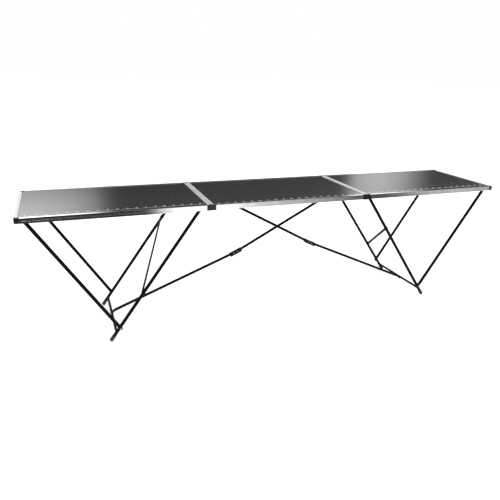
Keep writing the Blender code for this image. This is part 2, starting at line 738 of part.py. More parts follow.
def brace_bracket(name, layout, parent):
    """The clevis under the middle board that carries a brace's upper end."""
    inner = BRACE_RADIUS + KNUCKLE_SIDE_GAP
    outer = inner + BRACKET_WALL
    top = BOARD_UNDERSIDE - SEAT_GAP
    low = BRACE_TOP_HEIGHT - BRACKET_WIDTH / 2
    outline = [
        (-outer, low),
        (-inner, low),
        (-inner, top - BRACKET_WALL),
        (inner, top - BRACKET_WALL),
        (inner, low),
        (outer, low),
        (outer, top),
        (-outer, top),
    ]
    pivot = layout["pivot"]
    place = axes_place((pivot.x, pivot.y, 0), (0, 1, 0), (0, 0, 1))
    piece = extrusion(name, outline, BRACKET_WIDTH, place, grey_steel, parent)
    reach = Vector((0, outer + RIVET_HEAD_RISE, 0))
    bolt = rod(f"bolt {name}", pivot - reach, pivot + reach, RIVET_RADIUS,
               sides=SMALL_SIDES, is_cutter=True)
    boolean(piece, bolt, "UNION")
    return piece


def build_panel(prefix, low_x, high_x, left_corner, right_corner, parent):
    """The board and its four rails; the corner lengths are those of its blocks or caps."""
    board(f"{prefix}_board", low_x, high_x, left_corner, right_corner, parent)
    start, stop = low_x + left_corner + SEAT_GAP, high_x - right_corner - SEAT_GAP
    end_rail(f"{prefix}_end_rail_left", low_x, LEFT, parent)
    end_rail(f"{prefix}_end_rail_right", high_x, RIGHT, parent)
    rails = {}
    for side, side_name in SIDE_NAMES.items():
        rails[side] = long_rail(f"{prefix}_rail_{side_name}", start, stop, side, parent)
    return rails


def build_panels(bodies):
    half_gap = FOLD_GAP / 2
    left, middle, right = bodies["left_panel"], bodies["middle_panel"], bodies["right_panel"]
    left_rails = build_panel("left", -HALF_LENGTH, -FOLD_X - half_gap, CAP_LENGTH, BLOCK_LENGTH, left)
    build_panel("middle", -FOLD_X + half_gap, FOLD_X - half_gap, BLOCK_LENGTH, BLOCK_LENGTH, middle)
    right_rails = build_panel("right", FOLD_X + half_gap, HALF_LENGTH, BLOCK_LENGTH, CAP_LENGTH, right)
    for side, side_name in SIDE_NAMES.items():
        fit_strut_stud(left_rails[side], LEFT, side)
        fit_strut_stud(right_rails[side], RIGHT, side)
        corner_cap(f"left_corner_cap_{side_name}", LEFT, side, left)
        corner_cap(f"right_corner_cap_{side_name}", RIGHT, side, right)
        panel_block = hinge_block(f"left_hinge_block_{side_name}", -FOLD_X, LEFT, side, left)
        middle_left = hinge_block(f"middle_left_hinge_block_{side_name}", -FOLD_X, RIGHT, side, middle)
        fit_left_hinge(panel_block, middle_left, side)
        middle_right = hinge_block(f"middle_right_hinge_block_{side_name}", FOLD_X, LEFT, side, middle)
        right_block = hinge_block(f"right_hinge_block_{side_name}", FOLD_X, RIGHT, side, right)
        drill_link_hole(middle_right, LEFT, side)
        drill_link_hole(right_block, RIGHT, side)
        link_plate(f"right_link_plate_{side_name}", side, bodies["right_link"])


def build_legs(bodies):
    stay_shares = {LEFT: LEFT_STAY_SHARES, RIGHT: RIGHT_STAY_SHARES}
    for end, end_name in END_NAMES.items():
        frame, panel = bodies[f"{end_name}_legs"], bodies[f"{end_name}_panel"]
        for side, side_name in SIDE_NAMES.items():
            leg(f"{end_name}_leg_{side_name}", end, side, frame)
            foot(f"{end_name}_foot_{side_name}", end, side, frame)
            strut(f"{end_name}_strut_{side_name}", end, side, bodies[f"{end_name}_struts"])
        crossbar(f"{end_name}_leg_crossbar", end, frame)
        stay(f"{end_name}_leg_stay", end, stay_shares[end], frame)
        axle(f"{end_name}_leg_axle", end, panel)


def build_braces(bodies):
    for name, layout in brace_layouts.items():
        brace_bracket(f"{name}_brace_bracket", layout, bodies["middle_panel"])
        brace_upper(f"{name}_brace_upper", layout, bodies[f"{name}_brace_upper"])
        knuckle_clip(f"{name}_brace_knuckle", layout, bodies[f"{name}_brace_knuckle"])
        brace_lower(f"{name}_brace_lower", layout, bodies[f"{name}_brace_lower"])
        brace_hook(f"{name}_brace_hook", layout, bodies[f"{name}_brace_lower"])


def make_bodies():
    """One empty for each moving body, standing on its joint's axis."""
    bodies = {"middle_panel": make_empty("middle_panel_body", (0, 0, 0))}
    root = bodies["middle_panel"]
    bodies["left_panel"] = make_empty("left_panel_hinge", (-FOLD_X, 0, BARREL_HEIGHT), root)
    half = LINK_PITCH / 2
    bodies["right_link"] = make_empty("right_link_hinge", (FOLD_X - half, 0, LINK_PIN_HEIGHT), root)
    link = bodies["right_link"]
    bodies["right_panel"] = make_empty("right_panel_hinge", (FOLD_X + half, 0, LINK_PIN_HEIGHT), link)
    for end, end_name in END_NAMES.items():
        panel = bodies[f"{end_name}_panel"]
        legs_at = (end * LEG_PIVOT_X, 0, PIVOT_HEIGHT)
        struts_at = (end * STRUT_PIVOT_X, 0, PIVOT_HEIGHT)
        bodies[f"{end_name}_legs"] = make_empty(f"{end_name}_legs_hinge", legs_at, panel)
        bodies[f"{end_name}_struts"] = make_empty(f"{end_name}_struts_hinge", struts_at, panel)
    for name, layout in brace_layouts.items():
        upper = make_empty(f"{name}_brace_hinge", layout["pivot"], root)
        clip = make_empty(f"{name}_knuckle_upper_rivet", layout["upper_rivet"], upper)
        lower = make_empty(f"{name}_knuckle_lower_rivet", layout["lower_rivet"], clip)
        bodies[f"{name}_brace_upper"] = upper
        bodies[f"{name}_brace_knuckle"] = clip
        bodies[f"{name}_brace_lower"] = lower
    return bodies


def angle_between(first, second):
    """Degrees from one direction to another in the XZ plane."""
    return math.degrees(first.angle(second))


def print_joints():
    """The pivots and travels that a record of the joints needs."""
    level = Vector((1, 0, 0))
    down = leg_point(RIGHT, FRONT, 1) - leg_point(RIGHT, FRONT, 0)
    print(f"leg fold {angle_between(down, level):.3f}")
    swing = strut_point(RIGHT, FRONT, 1) - strut_point(RIGHT, FRONT, 0)
    print(f"strut fold {angle_between(swing, -level):.3f}")
    pins = (FOLD_X - LINK_PITCH / 2, FOLD_X + LINK_PITCH / 2)
    print(f"link pins at x {pins[0]:.5f} and {pins[1]:.5f}, z {LINK_PIN_HEIGHT:.5f}")
    for name, layout in brace_layouts.items():
        toward = level if layout["pivot"].x < layout["bar"].x else -level
        lift = angle_between(layout["upper_rivet"] - layout["pivot"], toward)
        print(f"{name} brace lift {lift:.3f}, each rivet turns {RIVET_TURN:.3f}, ratio {RIVET_TURN / lift:.5f}")
        for key in ("pivot", "upper_rivet", "lower_rivet"):
            print(f"  {key} {tuple(round(v, 5) for v in layout[key])}")


clear_scene()
table = make_collection("wallpaper_pasting_table")
cutters = make_collection("cutters")
aluminium = make_material("aluminium", (0.62, 0.63, 0.64), 0.35, 1.0)
laminate = make_material("black_laminate", (0.022, 0.023, 0.025), 0.38, 0.0)
plastic = make_material("black_plastic", (0.018, 0.018, 0.019), 0.5, 0.0)
rubber = make_material("black_rubber", (0.014, 0.014, 0.015), 0.8, 0.0)
black_steel = make_material("black_painted_steel", (0.012, 0.012, 0.013), 0.3, 0.3)
grey_steel = make_material("grey_steel", (0.10, 0.10, 0.11), 0.4, 0.8)
brace_layouts = {
    "back": brace_layout(BACK_BRACE_TOP_X, BACK_BRACE_KNUCKLE_X, BACK_BRACE_KNUCKLE_HEIGHT, LEFT,
                         BRACE_Y_SPACING / 2),
    "front": brace_layout(FRONT_BRACE_TOP_X, FRONT_BRACE_KNUCKLE_X, FRONT_BRACE_KNUCKLE_HEIGHT, RIGHT,
                          -BRACE_Y_SPACING / 2),
}
table_bodies = make_bodies()
build_panels(table_bodies)
build_legs(table_bodies)
build_braces(table_bodies)
print_joints()
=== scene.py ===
import json
import math
import bmesh
import bpy
from mathutils import Matrix, Vector


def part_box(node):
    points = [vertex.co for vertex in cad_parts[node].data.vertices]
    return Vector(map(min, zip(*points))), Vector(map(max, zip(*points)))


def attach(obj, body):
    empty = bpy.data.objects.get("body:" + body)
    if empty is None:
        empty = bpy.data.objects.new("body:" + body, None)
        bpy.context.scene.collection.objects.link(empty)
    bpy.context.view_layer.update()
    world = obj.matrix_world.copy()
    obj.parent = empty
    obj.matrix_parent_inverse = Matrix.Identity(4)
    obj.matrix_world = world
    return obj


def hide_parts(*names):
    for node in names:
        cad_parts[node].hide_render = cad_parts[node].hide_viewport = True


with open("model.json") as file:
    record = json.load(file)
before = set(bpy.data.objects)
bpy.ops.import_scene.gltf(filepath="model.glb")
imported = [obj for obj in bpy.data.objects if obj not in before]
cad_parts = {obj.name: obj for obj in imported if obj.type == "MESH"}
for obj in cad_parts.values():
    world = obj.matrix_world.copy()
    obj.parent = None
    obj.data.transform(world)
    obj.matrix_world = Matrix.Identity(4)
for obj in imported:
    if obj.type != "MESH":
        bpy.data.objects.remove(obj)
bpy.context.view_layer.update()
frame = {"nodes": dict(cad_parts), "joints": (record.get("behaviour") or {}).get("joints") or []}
jointAt = {joint["name"]: Vector(joint["pos_m"]) for joint in frame["joints"]}
sides = {"front": -1, "back": 1}
ends = {"left": -1, "right": 1}
print("frame loaded:", len(frame["nodes"]), "pieces")


def boxOf(node):
    low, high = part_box(node)
    return Vector(low), Vector(high)


def middleOf(node):
    low, high = boxOf(node)
    return (low + high) / 2


# Mesh helpers: each gives a bmesh of its own, and together() joins several

def lineUp(start, end, across=(0, 1, 0)):
    # local Z runs from start to end, local X lies across
    along = (Vector(end) - Vector(start)).normalized()
    level = Vector(across) - along * along.dot(Vector(across))
    level.normalize()
    turn = Matrix((level, along.cross(level), along)).transposed().to_4x4()
    return Matrix.Translation(Vector(start)) @ turn


def faceOn(origin, across, up):
    # local X and Y are the given directions
    across, up = Vector(across).normalized(), Vector(up).normalized()
    turn = Matrix((across, up, across.cross(up))).transposed().to_4x4()
    return Matrix.Translation(Vector(origin)) @ turn


def placed(part, place):
    bmesh.ops.transform(part, matrix=place, verts=part.verts)
    return part


def together(parts):
    whole = bmesh.new()
    for part in parts:
        mesh = bpy.data.meshes.new("joining")
        part.to_mesh(mesh)
        part.free()
        whole.from_mesh(mesh)
        bpy.data.meshes.remove(mesh)
    return whole


def lathe(profile, steps=24, closed=False):
    # (radius, height) points turned about Z
    part = bmesh.new()
    points = [part.verts.new((radius, 0, height)) for radius, height in profile]
    edges = [part.edges.new(pair) for pair in zip(points, points[1:])]
    if closed:
        edges.append(part.edges.new((points[-1], points[0])))
    bmesh.ops.spin(part, geom=points + edges, cent=(0, 0, 0), axis=(0, 0, 1), angle=2 * math.pi,
                   steps=steps, use_merge=True, use_normal_flip=False, use_duplicate=False)
    bmesh.ops.remove_doubles(part, verts=part.verts, dist=0.000005)
    bmesh.ops.recalc_face_normals(part, faces=part.faces)
    return part


def prism(outline, depth, bevel=0.0):
    # a flat outline pushed out by half its depth each way, long edges rounded
    part = bmesh.new()
    face = part.faces.new([part.verts.new((x, y, -depth / 2)) for x, y in outline])
    pushed = bmesh.ops.extrude_face_region(part, geom=[face])["geom"]
    moved = [g for g in pushed if isinstance(g, bmesh.types.BMVert)]
    bmesh.ops.translate(part, vec=(0, 0, depth), verts=moved)
    bmesh.ops.recalc_face_normals(part, faces=part.faces)
    if bevel:
        roundOff(part, [e for e in part.edges if isLengthwise(e)], bevel)
    return part


def isLengthwise(edge):
    along = edge.verts[0].co - edge.verts[1].co
    return abs(along.z) > along.length * 0.9


def roundOff(part, edges, offset, segments=2):
    bmesh.ops.bevel(part, geom=edges, offset=offset, offset_type="OFFSET", segments=segments, profile=0.5,
                    affect="EDGES", clamp_overlap=True, material=-1)


def stepped(outline, stations):
    # an outline pushed up through (height, inset) stations
    part = bmesh.new()
    low = Vector((min(x for x, y in outline), min(y for x, y in outline)))
    high = Vector((max(x for x, y in outline), max(y for x, y in outline)))
    centre, half = (low + high) / 2, (high - low) / 2

    def ringAt(height, inset):
        shrinkX, shrinkY = 1 - inset / half.x, 1 - inset / half.y
        return [(centre.x + (x - centre.x) * shrinkX, centre.y + (y - centre.y) * shrinkY, height)
                for x, y in outline]

    ring = [part.verts.new(point) for point in ringAt(*stations[0])]
    top = part.faces.new(ring)
    for number, station in enumerate(stations[1:]):
        top = pushTop(part, top, number > 0)
        for loop, point in zip(top.loops, ringAt(*station)):
            loop.vert.co = point
    bmesh.ops.recalc_face_normals(part, faces=part.faces)
    return part


def pushTop(part, top, inside):
    # extrude an end face; one that is now inside the body is taken out
    pushed = bmesh.ops.extrude_face_region(part, geom=[top])["geom"]
    if inside and top.is_valid:
        bmesh.ops.delete(part, geom=[top], context="FACES_ONLY")
    return [g for g in pushed if isinstance(g, bmesh.types.BMFace)][0]


def sweep(stations, steps=24):
    # (height, half width, half depth) rings joined into one closed skin along Z
    part = bmesh.new()
    height, wide, deep = stations[0]
    ring = bmesh.ops.create_circle(part, cap_ends=True, radius=1, segments=steps)["verts"]
    bmesh.ops.scale(part, vec=(wide, deep, 1), verts=ring)
    bmesh.ops.translate(part, vec=(0, 0, height), verts=ring)
    top = part.faces[:][0]
    for number, (nextHeight, nextWide, nextDeep) in enumerate(stations[1:]):
        top = pushTop(part, top, number > 0)
        verts = top.verts[:]
        bmesh.ops.scale(part, vec=(nextWide / wide, nextDeep / deep, 1), verts=verts)
        bmesh.ops.translate(part, vec=(0, 0, nextHeight - height), verts=verts)
        height, wide, deep = nextHeight, nextWide, nextDeep
    bmesh.ops.recalc_face_normals(part, faces=part.faces)
    return part


def dome(radius, rise, base=0.0, steps=5):
    # profile points of a low round head, from its rim to its crown
    turns = [math.pi / 2 * i / steps for i in range(steps + 1)]
    points = [(radius * math.cos(turn), base + rise * math.sin(turn)) for turn in turns[:-1]]
    return points + [(0, base + rise)]


def rivetHead(at, outward, radius, rise, sunk=0.001):
    head = lathe([(0, -sunk), (radius, -sunk)] + dome(radius, rise), steps=16)
    side = (1, 0, 0) if abs(Vector(outward).normalized().x) < 0.9 else (0, 1, 0)
    return placed(head, lineUp(at, Vector(at) + Vector(outward), side))


def rod(start, stop, radius, steps=16, across=(1, 0, 0)):
    length = (Vector(stop) - Vector(start)).length
    part = lathe([(0, 0), (radius, 0), (radius, length), (0, length)], steps)
    return placed(part, lineUp(start, stop, across))


def asObject(name, part):
    mesh = bpy.data.meshes.new(name)
    part.to_mesh(mesh)
    part.free()
    thing = bpy.data.objects.new(name, mesh)
    bpy.context.scene.collection.objects.link(thing)
    return thing


def bored(part, cuts):
    # drill round holes: (start, end, radius)
    holder = asObject("blank", part)
    drills = [asObject("drill", rod(start, stop, radius, 20)) for start, stop, radius in cuts]
    for drill in drills:
        cut = holder.modifiers.new("cut", "BOOLEAN")
        cut.operation = "DIFFERENCE"
        cut.object = drill
        cut.solver = "EXACT"
    ready = bpy.data.meshes.new_from_object(holder.evaluated_get(bpy.context.evaluated_depsgraph_get()))
    result = bmesh.new()
    result.from_mesh(ready)
    for old in drills + [holder]:
        oldMesh = old.data
        bpy.data.objects.remove(old, do_unlink=True)
        bpy.data.meshes.remove(oldMesh)
    bpy.data.meshes.remove(ready)
    return result


def finishPiece(name, part, material, body, replaced=(), sharp=35):
    piece = asObject(name, part)
    piece.data.materials.append(material)
    piece.data.shade_smooth()
    piece.data.set_sharp_from_angle(angle=math.radians(sharp))
    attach(piece, body)
    if replaced:
        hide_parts(*replaced)


# Materials

def newMaterial(name, color, settings):
    material = bpy.data.materials.new(name)
    material.use_nodes = True
    shader = material.node_tree.nodes["Principled BSDF"]
    shader.inputs["Base Color"].default_value = (*color, 1)
    for socket, value in settings.items():
        shader.inputs[socket].default_value = value
    return material, material.node_tree, shader


def pattern(tree, kind, stretch, scale, detail=3.0, roughness=0.5):
    # a texture on object coordinates, stretched by its mapping
    coordinates = tree.nodes.new("ShaderNodeTexCoord")
    mapping = tree.nodes.new("ShaderNodeMapping")
    mapping.inputs["Scale"].default_value = stretch
    texture = tree.nodes.new(kind)
    texture.inputs["Scale"].default_value = scale
    if kind == "ShaderNodeTexNoise":
        texture.inputs["Detail"].default_value = detail
        texture.inputs["Roughness"].default_value = roughness
    tree.links.new(coordinates.outputs["Object"], mapping.inputs["Vector"])
    tree.links.new(mapping.outputs["Vector"], texture.inputs["Vector"])
    return texture.outputs["Fac"] if kind == "ShaderNodeTexNoise" else texture.outputs["Distance"]


def tones(tree, source, stops):
    # colours along a value from 0 to 1
    ramp = tree.nodes.new("ShaderNodeValToRGB")
    while len(ramp.color_ramp.elements) < len(stops):
        ramp.color_ramp.elements.new(0.5)
    for element, (position, color) in zip(ramp.color_ramp.elements, stops):
        element.position = position
        element.color = (*color, 1)
    tree.links.new(source, ramp.inputs["Fac"])
    return ramp.outputs["Color"]


def spread(tree, source, low, high):
    # a value from 0 to 1 turned to a range
    reach = tree.nodes.new("ShaderNodeMapRange")
    reach.inputs["From Min"].default_value = 0.3
    reach.inputs["From Max"].default_value = 0.7
    reach.inputs["To Min"].default_value = low
    reach.inputs["To Max"].default_value = high
    tree.links.new(source, reach.inputs["Value"])
    return reach.outputs["Result"]


def blended(tree, first, second, share, mode="MIX"):
    mix = tree.nodes.new("ShaderNodeMix")
    mix.data_type = "RGBA"
    mix.blend_type = mode
    mix.inputs["Factor"].default_value = share
    tree.links.new(first, mix.inputs["A"])
    tree.links.new(second, mix.inputs["B"])
    return mix.outputs["Result"]


def mottled(tree, source, level):
    # one colour, from 0.7 to 1.5 times its level
    low, high = level * 0.7, level * 1.5
    return tones(tree, source, [(0.3, (low, low, low)), (0.7, (high, high, high))])


def relief(tree, shader, height, strength, distance):
    bump = tree.nodes.new("ShaderNodeBump")
    bump.inputs["Strength"].default_value = strength
    bump.inputs["Distance"].default_value = distance
    tree.links.new(height, bump.inputs["Height"])
    tree.links.new(bump.outputs["Normal"], shader.inputs["Normal"])


def makeLaminate():
    material, tree, shader = newMaterial("blackLaminate", (0.022, 0.023, 0.024), {"Specular IOR Level": 0.5})
    grain = pattern(tree, "ShaderNodeTexNoise", (1, 1, 1), 210, 6, 0.7)
    clouds = pattern(tree, "ShaderNodeTexNoise", (1, 2, 1), 9, 3)
    fine = pattern(tree, "ShaderNodeTexNoise", (1, 1, 1), 900, 3, 0.6)
    base = tones(tree, grain, [(0.30, (0.004, 0.0042, 0.0044)), (0.52, (0.011, 0.0115, 0.012)),
                               (0.74, (0.026, 0.027, 0.028))])
    soft = tones(tree, clouds, [(0.3, (0.75, 0.75, 0.75)), (0.7, (1.0, 1.0, 1.0))])
    tree.links.new(blended(tree, base, soft, 1.0, "MULTIPLY"), shader.inputs["Base Color"])
    tree.links.new(spread(tree, grain, 0.15, 0.24), shader.inputs["Roughness"])
    relief(tree, shader, fine, 0.03, 0.0004)
    return material


def makeAluminium(name, stretch, smooth, rough):
    material, tree, shader = newMaterial(name, (0.72, 0.73, 0.74), {"Metallic": 1.0})
    lines = pattern(tree, "ShaderNodeTexNoise", stretch, 1.0, 5, 0.65)
    stains = pattern(tree, "ShaderNodeTexNoise", (1, 1, 1), 26, 4)
    base = tones(tree, lines, [(0.25, (0.66, 0.67, 0.68)), (0.5, (0.74, 0.75, 0.76)),
                               (0.8, (0.80, 0.81, 0.82))])
    dull = tones(tree, stains, [(0.35, (0.86, 0.86, 0.87)), (0.65, (1.0, 1.0, 1.0))])
    tree.links.new(blended(tree, base, dull, 1.0, "MULTIPLY"), shader.inputs["Base Color"])
    tree.links.new(spread(tree, lines, smooth, rough), shader.inputs["Roughness"])
    relief(tree, shader, lines, 0.004, 0.0003)
    return material


def makePlastic(name, level):
    material, tree, shader = newMaterial(name, (level, level, level), {"Specular IOR Level": 0.12})
    grain = pattern(tree, "ShaderNodeTexNoise", (1, 1, 1), 1400, 3, 0.6)
    wear = pattern(tree, "ShaderNodeTexNoise", (1, 1, 1), 60, 4)
    tree.links.new(mottled(tree, wear, level), shader.inputs["Base Color"])
    tree.links.new(spread(tree, wear, 0.40, 0.55), shader.inputs["Roughness"])
    relief(tree, shader, grain, 0.25, 0.0003)
    return material


def makeRubber():
    material, tree, shader = newMaterial("footRubber", (0.014, 0.014, 0.015), {"Specular IOR Level": 0.4})
    dust = pattern(tree, "ShaderNodeTexNoise", (1, 1, 1), 240, 5, 0.6)
    base = tones(tree, dust, [(0.35, (0.010, 0.010, 0.011)), (0.7, (0.030, 0.030, 0.030))])
    tree.links.new(base, shader.inputs["Base Color"])
    tree.links.new(spread(tree, dust, 0.68, 0.85), shader.inputs["Roughness"])
    relief(tree, shader, dust, 0.2, 0.0004)
    return material


def makeBlackSteel(name, level):
    material, tree, shader = newMaterial(name, (level, level, level), {"Specular IOR Level": 0.06})
    peel = pattern(tree, "ShaderNodeTexNoise", (1, 1, 1), 520, 3, 0.5)
    shade = pattern(tree, "ShaderNodeTexNoise", (1, 1, 1), 14, 3)
    tree.links.new(mottled(tree, shade, level), shader.inputs["Base Color"])
    tree.links.new(spread(tree, peel, 0.38, 0.48), shader.inputs["Roughness"])
    relief(tree, shader, peel, 0.15, 0.0003)
    return material


def makeZinc(name, dark, light, rough):
    material, tree, shader = newMaterial(name, (dark, dark, dark), {"Metallic": 1.0})
    spangle = pattern(tree, "ShaderNodeTexVoronoi", (1, 1, 1), 260)
    scuffs = pattern(tree, "ShaderNodeTexNoise", (1, 1, 1), 90, 4)
    base = tones(tree, spangle, [(0.1, (dark, dark, dark * 1.03)), (0.7, (light, light, light * 1.02))])
    tree.links.new(base, shader.inputs["Base Color"])
    tree.links.new(spread(tree, scuffs, rough, rough + 0.14), shader.inputs["Roughness"])
    relief(tree, shader, scuffs, 0.12, 0.0003)
    return material


def makeInk():
    material, tree, shader = newMaterial("rulerInk", (0.7, 0.7, 0.7), {"Specular IOR Level": 0.4})
    wear = pattern(tree, "ShaderNodeTexNoise", (1, 1, 1), 400, 3)
    base = tones(tree, wear, [(0.3, (0.66, 0.67, 0.68)), (0.6, (0.88, 0.89, 0.90))])
    tree.links.new(base, shader.inputs["Base Color"])
    tree.links.new(spread(tree, wear, 0.35, 0.5), shader.inputs["Roughness"])
    return material


laminate = makeLaminate()
aluminiumLong = makeAluminium("aluminiumLong", (3, 420, 420), 0.06, 0.11)
aluminiumAcross = makeAluminium("aluminiumAcross", (420, 3, 420), 0.40, 0.52)
plastic = makePlastic("mouldedBlackPlastic", 0.006)
hingePlastic = makePlastic("hingePlastic", 0.022)
rubber = makeRubber()
blackSteel = makeBlackSteel("blackPowderCoat", 0.0016)
greySteel = makeBlackSteel("greyPowderCoat", 0.003)
brightZinc = makeZinc("brightZinc", 0.26, 0.40, 0.28)
ink = makeInk()
print("materials made")


# The panels' aluminium channel

rail = dict(depth=0.028, wall=0.0016, flange=0.017, lip=0.012, grooveTop=0.0110, grooveDepth=0.0002,
            grooveWidth=0.0060, grooveSlope=0.00002, edge=0.0001, sharp=12)
stud = dict(spacerRadius=0.006, shoulderGap=0.0003, pinRadius=0.004, strutY=0.263, strutRadius=0.0098,
            tipLength=0.0006, tipShare=0.8)
panels = ("left", "middle", "right")


def channelOutline():
    # C section: web at zero, top flange and lower lip going inward, a shallow groove outside
    wall, depth, deep, slope = rail["wall"], rail["depth"], rail["grooveDepth"], rail["grooveSlope"]
    grooveTop, grooveLow = rail["grooveTop"], rail["grooveTop"] + rail["grooveWidth"]
    return [
        (0, 0), (rail["flange"], 0), (rail["flange"], -wall), (wall, -wall), (wall, slope - grooveTop),
        (wall + deep, -grooveTop), (wall + deep, -grooveLow), (wall, -grooveLow - slope),
        (wall, wall - depth), (rail["lip"], wall - depth), (rail["lip"], -depth), (0, -depth),
        (0, -grooveLow), (deep, slope - grooveLow), (deep, -grooveTop - slope), (0, -grooveTop),
    ]


def railChannel(origin, inward, length):
    return placed(prism(channelOutline(), length, rail["edge"]), faceOn(origin, inward, (0, 0, 1)))


def strutStud(pivot, outer, sign):
    # a pin for the strut, with a spacer between the strut and the web
    web = Vector((pivot.x, outer - sign * rail["wall"] * 0.5, pivot.z))
    shoulder = abs(outer) - (stud["strutY"] + stud["strutRadius"] + stud["shoulderGap"])
    reach = abs(outer) - (stud["strutY"] - stud["strutRadius"] + rail["wall"])
    thick, thin = stud["spacerRadius"], stud["pinRadius"]
    profile = [(0, 0), (thick, 0), (thick, shoulder), (thin, shoulder), (thin, reach - stud["tipLength"]),
               (thin * stud["tipShare"], reach), (0, reach)]
    return placed(lathe(profile, 20), lineUp(web, web - Vector((0, sign, 0)), (1, 0, 0)))


def makeLongRail(panel, side):
    node = f"{panel}_rail_{side}"
    low, high = boxOf(node)
    sign = sides[side]
    outer = high.y if sign > 0 else low.y
    parts = [railChannel(((low.x + high.x) / 2, outer, high.z), (0, -sign, 0), high.x - low.x)]
    if panel in ends:
        parts.append(strutStud(jointAt[f"{panel}_struts_fold"], outer, sign))
    finishPiece(f"{panel}Rail{side.capitalize()}", together(parts), aluminiumLong, f"{panel}_panel",
                [node], rail["sharp"])


def makeEndRail(panel, end):
    node = f"{panel}_end_rail_{end}"
    low, high = boxOf(node)
    sign = ends[end]
    outer = high.x if sign > 0 else low.x
    part = railChannel((outer, 0, high.z), (-sign, 0, 0), high.y - low.y)
    finishPiece(f"{panel}EndRail{end.capitalize()}", part, aluminiumAcross, f"{panel}_panel",
                [node], rail["sharp"])


def recolor(node, material):
    materials = frame["nodes"][node].data.materials
    materials.clear()
    materials.append(material)


for panel in panels:
    recolor(f"{panel}_board", laminate)
    for side in sides:
        makeLongRail(panel, side)
    for end in ends:
        makeEndRail(panel, end)
print("panels made")


# Ruler marks beside the front flange, a long one every 5 cm

ruler = dict(step=0.01, longEvery=5, endShare=0.3, width=0.0016, wide=0.0020, short=0.011, long=0.016,
             rise=0.00012, gap=0.0006, digitSize=0.014, digitGap=0.0015)


def makeRuler(panel):
    boardLow, boardHigh = boxOf(f"{panel}_board")
    startX = boxOf("left_end_rail_left")[0].x
    innerY = boxOf(f"{panel}_rail_front")[1].y + ruler["gap"]
    digitY = innerY + ruler["long"] + ruler["digitGap"]
    first = math.ceil((boardLow.x + rail["flange"] - startX) / ruler["step"] + ruler["endShare"])
    last = math.floor((boardHigh.x - rail["flange"] - startX) / ruler["step"] - ruler["endShare"])
    parts = []
    for number in range(first, last + 1):
        isLong = number % ruler["longEvery"] == 0
        length, width = (ruler["long"], ruler["wide"]) if isLong else (ruler["short"], ruler["width"])
        mark = bmesh.new()
        bmesh.ops.create_cube(mark, size=1)
        size = Matrix.Diagonal((width, length, ruler["rise"], 1))
        x = startX + number * ruler["step"]
        centre = (x, innerY + length / 2, boardHigh.z + ruler["rise"] / 2)
        parts.append(placed(mark, Matrix.Translation(centre) @ size))
        if isLong:
            parts.append(digits(number, Vector((x, digitY, boardHigh.z))))
    finishPiece(f"{panel}Ruler", together(parts), ink, f"{panel}_panel")


def digits(number, at):
    text = bpy.data.curves.new("digits", "FONT")
    text.body = str(number)
    text.size = ruler["digitSize"]
    text.align_x = "CENTER"
    text.resolution_u = 2
    text.extrude = ruler["rise"] / 2
    holder = bpy.data.objects.new("digits", text)
    bpy.context.scene.collection.objects.link(holder)
    mesh = bpy.data.meshes.new_from_object(holder.evaluated_get(bpy.context.evaluated_depsgraph_get()))
    bpy.data.objects.remove(holder, do_unlink=True)
    bpy.data.curves.remove(text)
    part = bmesh.new()
    part.from_mesh(mesh)
    bpy.data.meshes.remove(mesh)
    near = ruler["rise"] / 20
    bmesh.ops.remove_doubles(part, verts=part.verts, dist=near)
    bmesh.ops.dissolve_degenerate(part, edges=part.edges, dist=near)
    bmesh.ops.recalc_face_normals(part, faces=part.faces)
    return placed(part, Matrix.Translation(at + Vector((0, 0, ruler["rise"] / 2))))


for panel in panels:
    makeRuler(panel)
print("ruler made")


# Corner caps

cap = dict(round=0.006, ribDepth=0.0005, ribHeight=0.0011, ribShares=(0.28, 0.5, 0.72), edge=0.0009,
           slantShare=0.3, screwShares=(0.42, 0.5), screwRadius=0.0036, screwRise=0.0012)


def makeCap(end, side):
    node = f"{end}_corner_cap_{side}"
    low, high = boxOf(node)
    length, width, height = high - low
    signX, signY = ends[end], sides[side]
    turn, edge, ribDepth, ribHalf = cap["round"], cap["edge"], cap["ribDepth"], cap["ribHeight"] / 2
    arc = [math.pi / 2 * i / 6 for i in range(7)]
    outline = [(0, 0), (0, width)]
    outline += [(length - turn + turn * math.sin(a), width - turn + turn * math.cos(a)) for a in arc]
    outline += [(length, 0)]
    stations = [(0, edge), (edge, 0)]
    for share in cap["ribShares"]:
        middle = height * share
        stations += [(middle - ribHalf - ribDepth, 0), (middle - ribHalf, ribDepth),
                     (middle + ribHalf, ribDepth), (middle + ribHalf + ribDepth, 0)]
    slant = edge * cap["slantShare"]
    stations += [(height - edge, 0), (height - slant, slant), (height, edge)]
    part = stepped(outline, stations)
    inner = (low.x if signX > 0 else high.x, low.y if signY > 0 else high.y, low.z)
    placed(part, Matrix.Translation(inner) @ Matrix.Diagonal((signX, signY, 1, 1)))
    bmesh.ops.recalc_face_normals(part, faces=part.faces)
    alongShare, acrossShare = cap["screwShares"]
    screwAt = (inner[0] + signX * length * alongShare, inner[1] + signY * width * acrossShare, low.z)
    screw = rivetHead(screwAt, (0, 0, -1), cap["screwRadius"], cap["screwRise"])
    finishPiece(f"{end}CornerCap{side.capitalize()}", together([part, screw]), plastic, f"{end}_panel",
                [node])


for end in ends:
    for side in sides:
        makeCap(end, side)
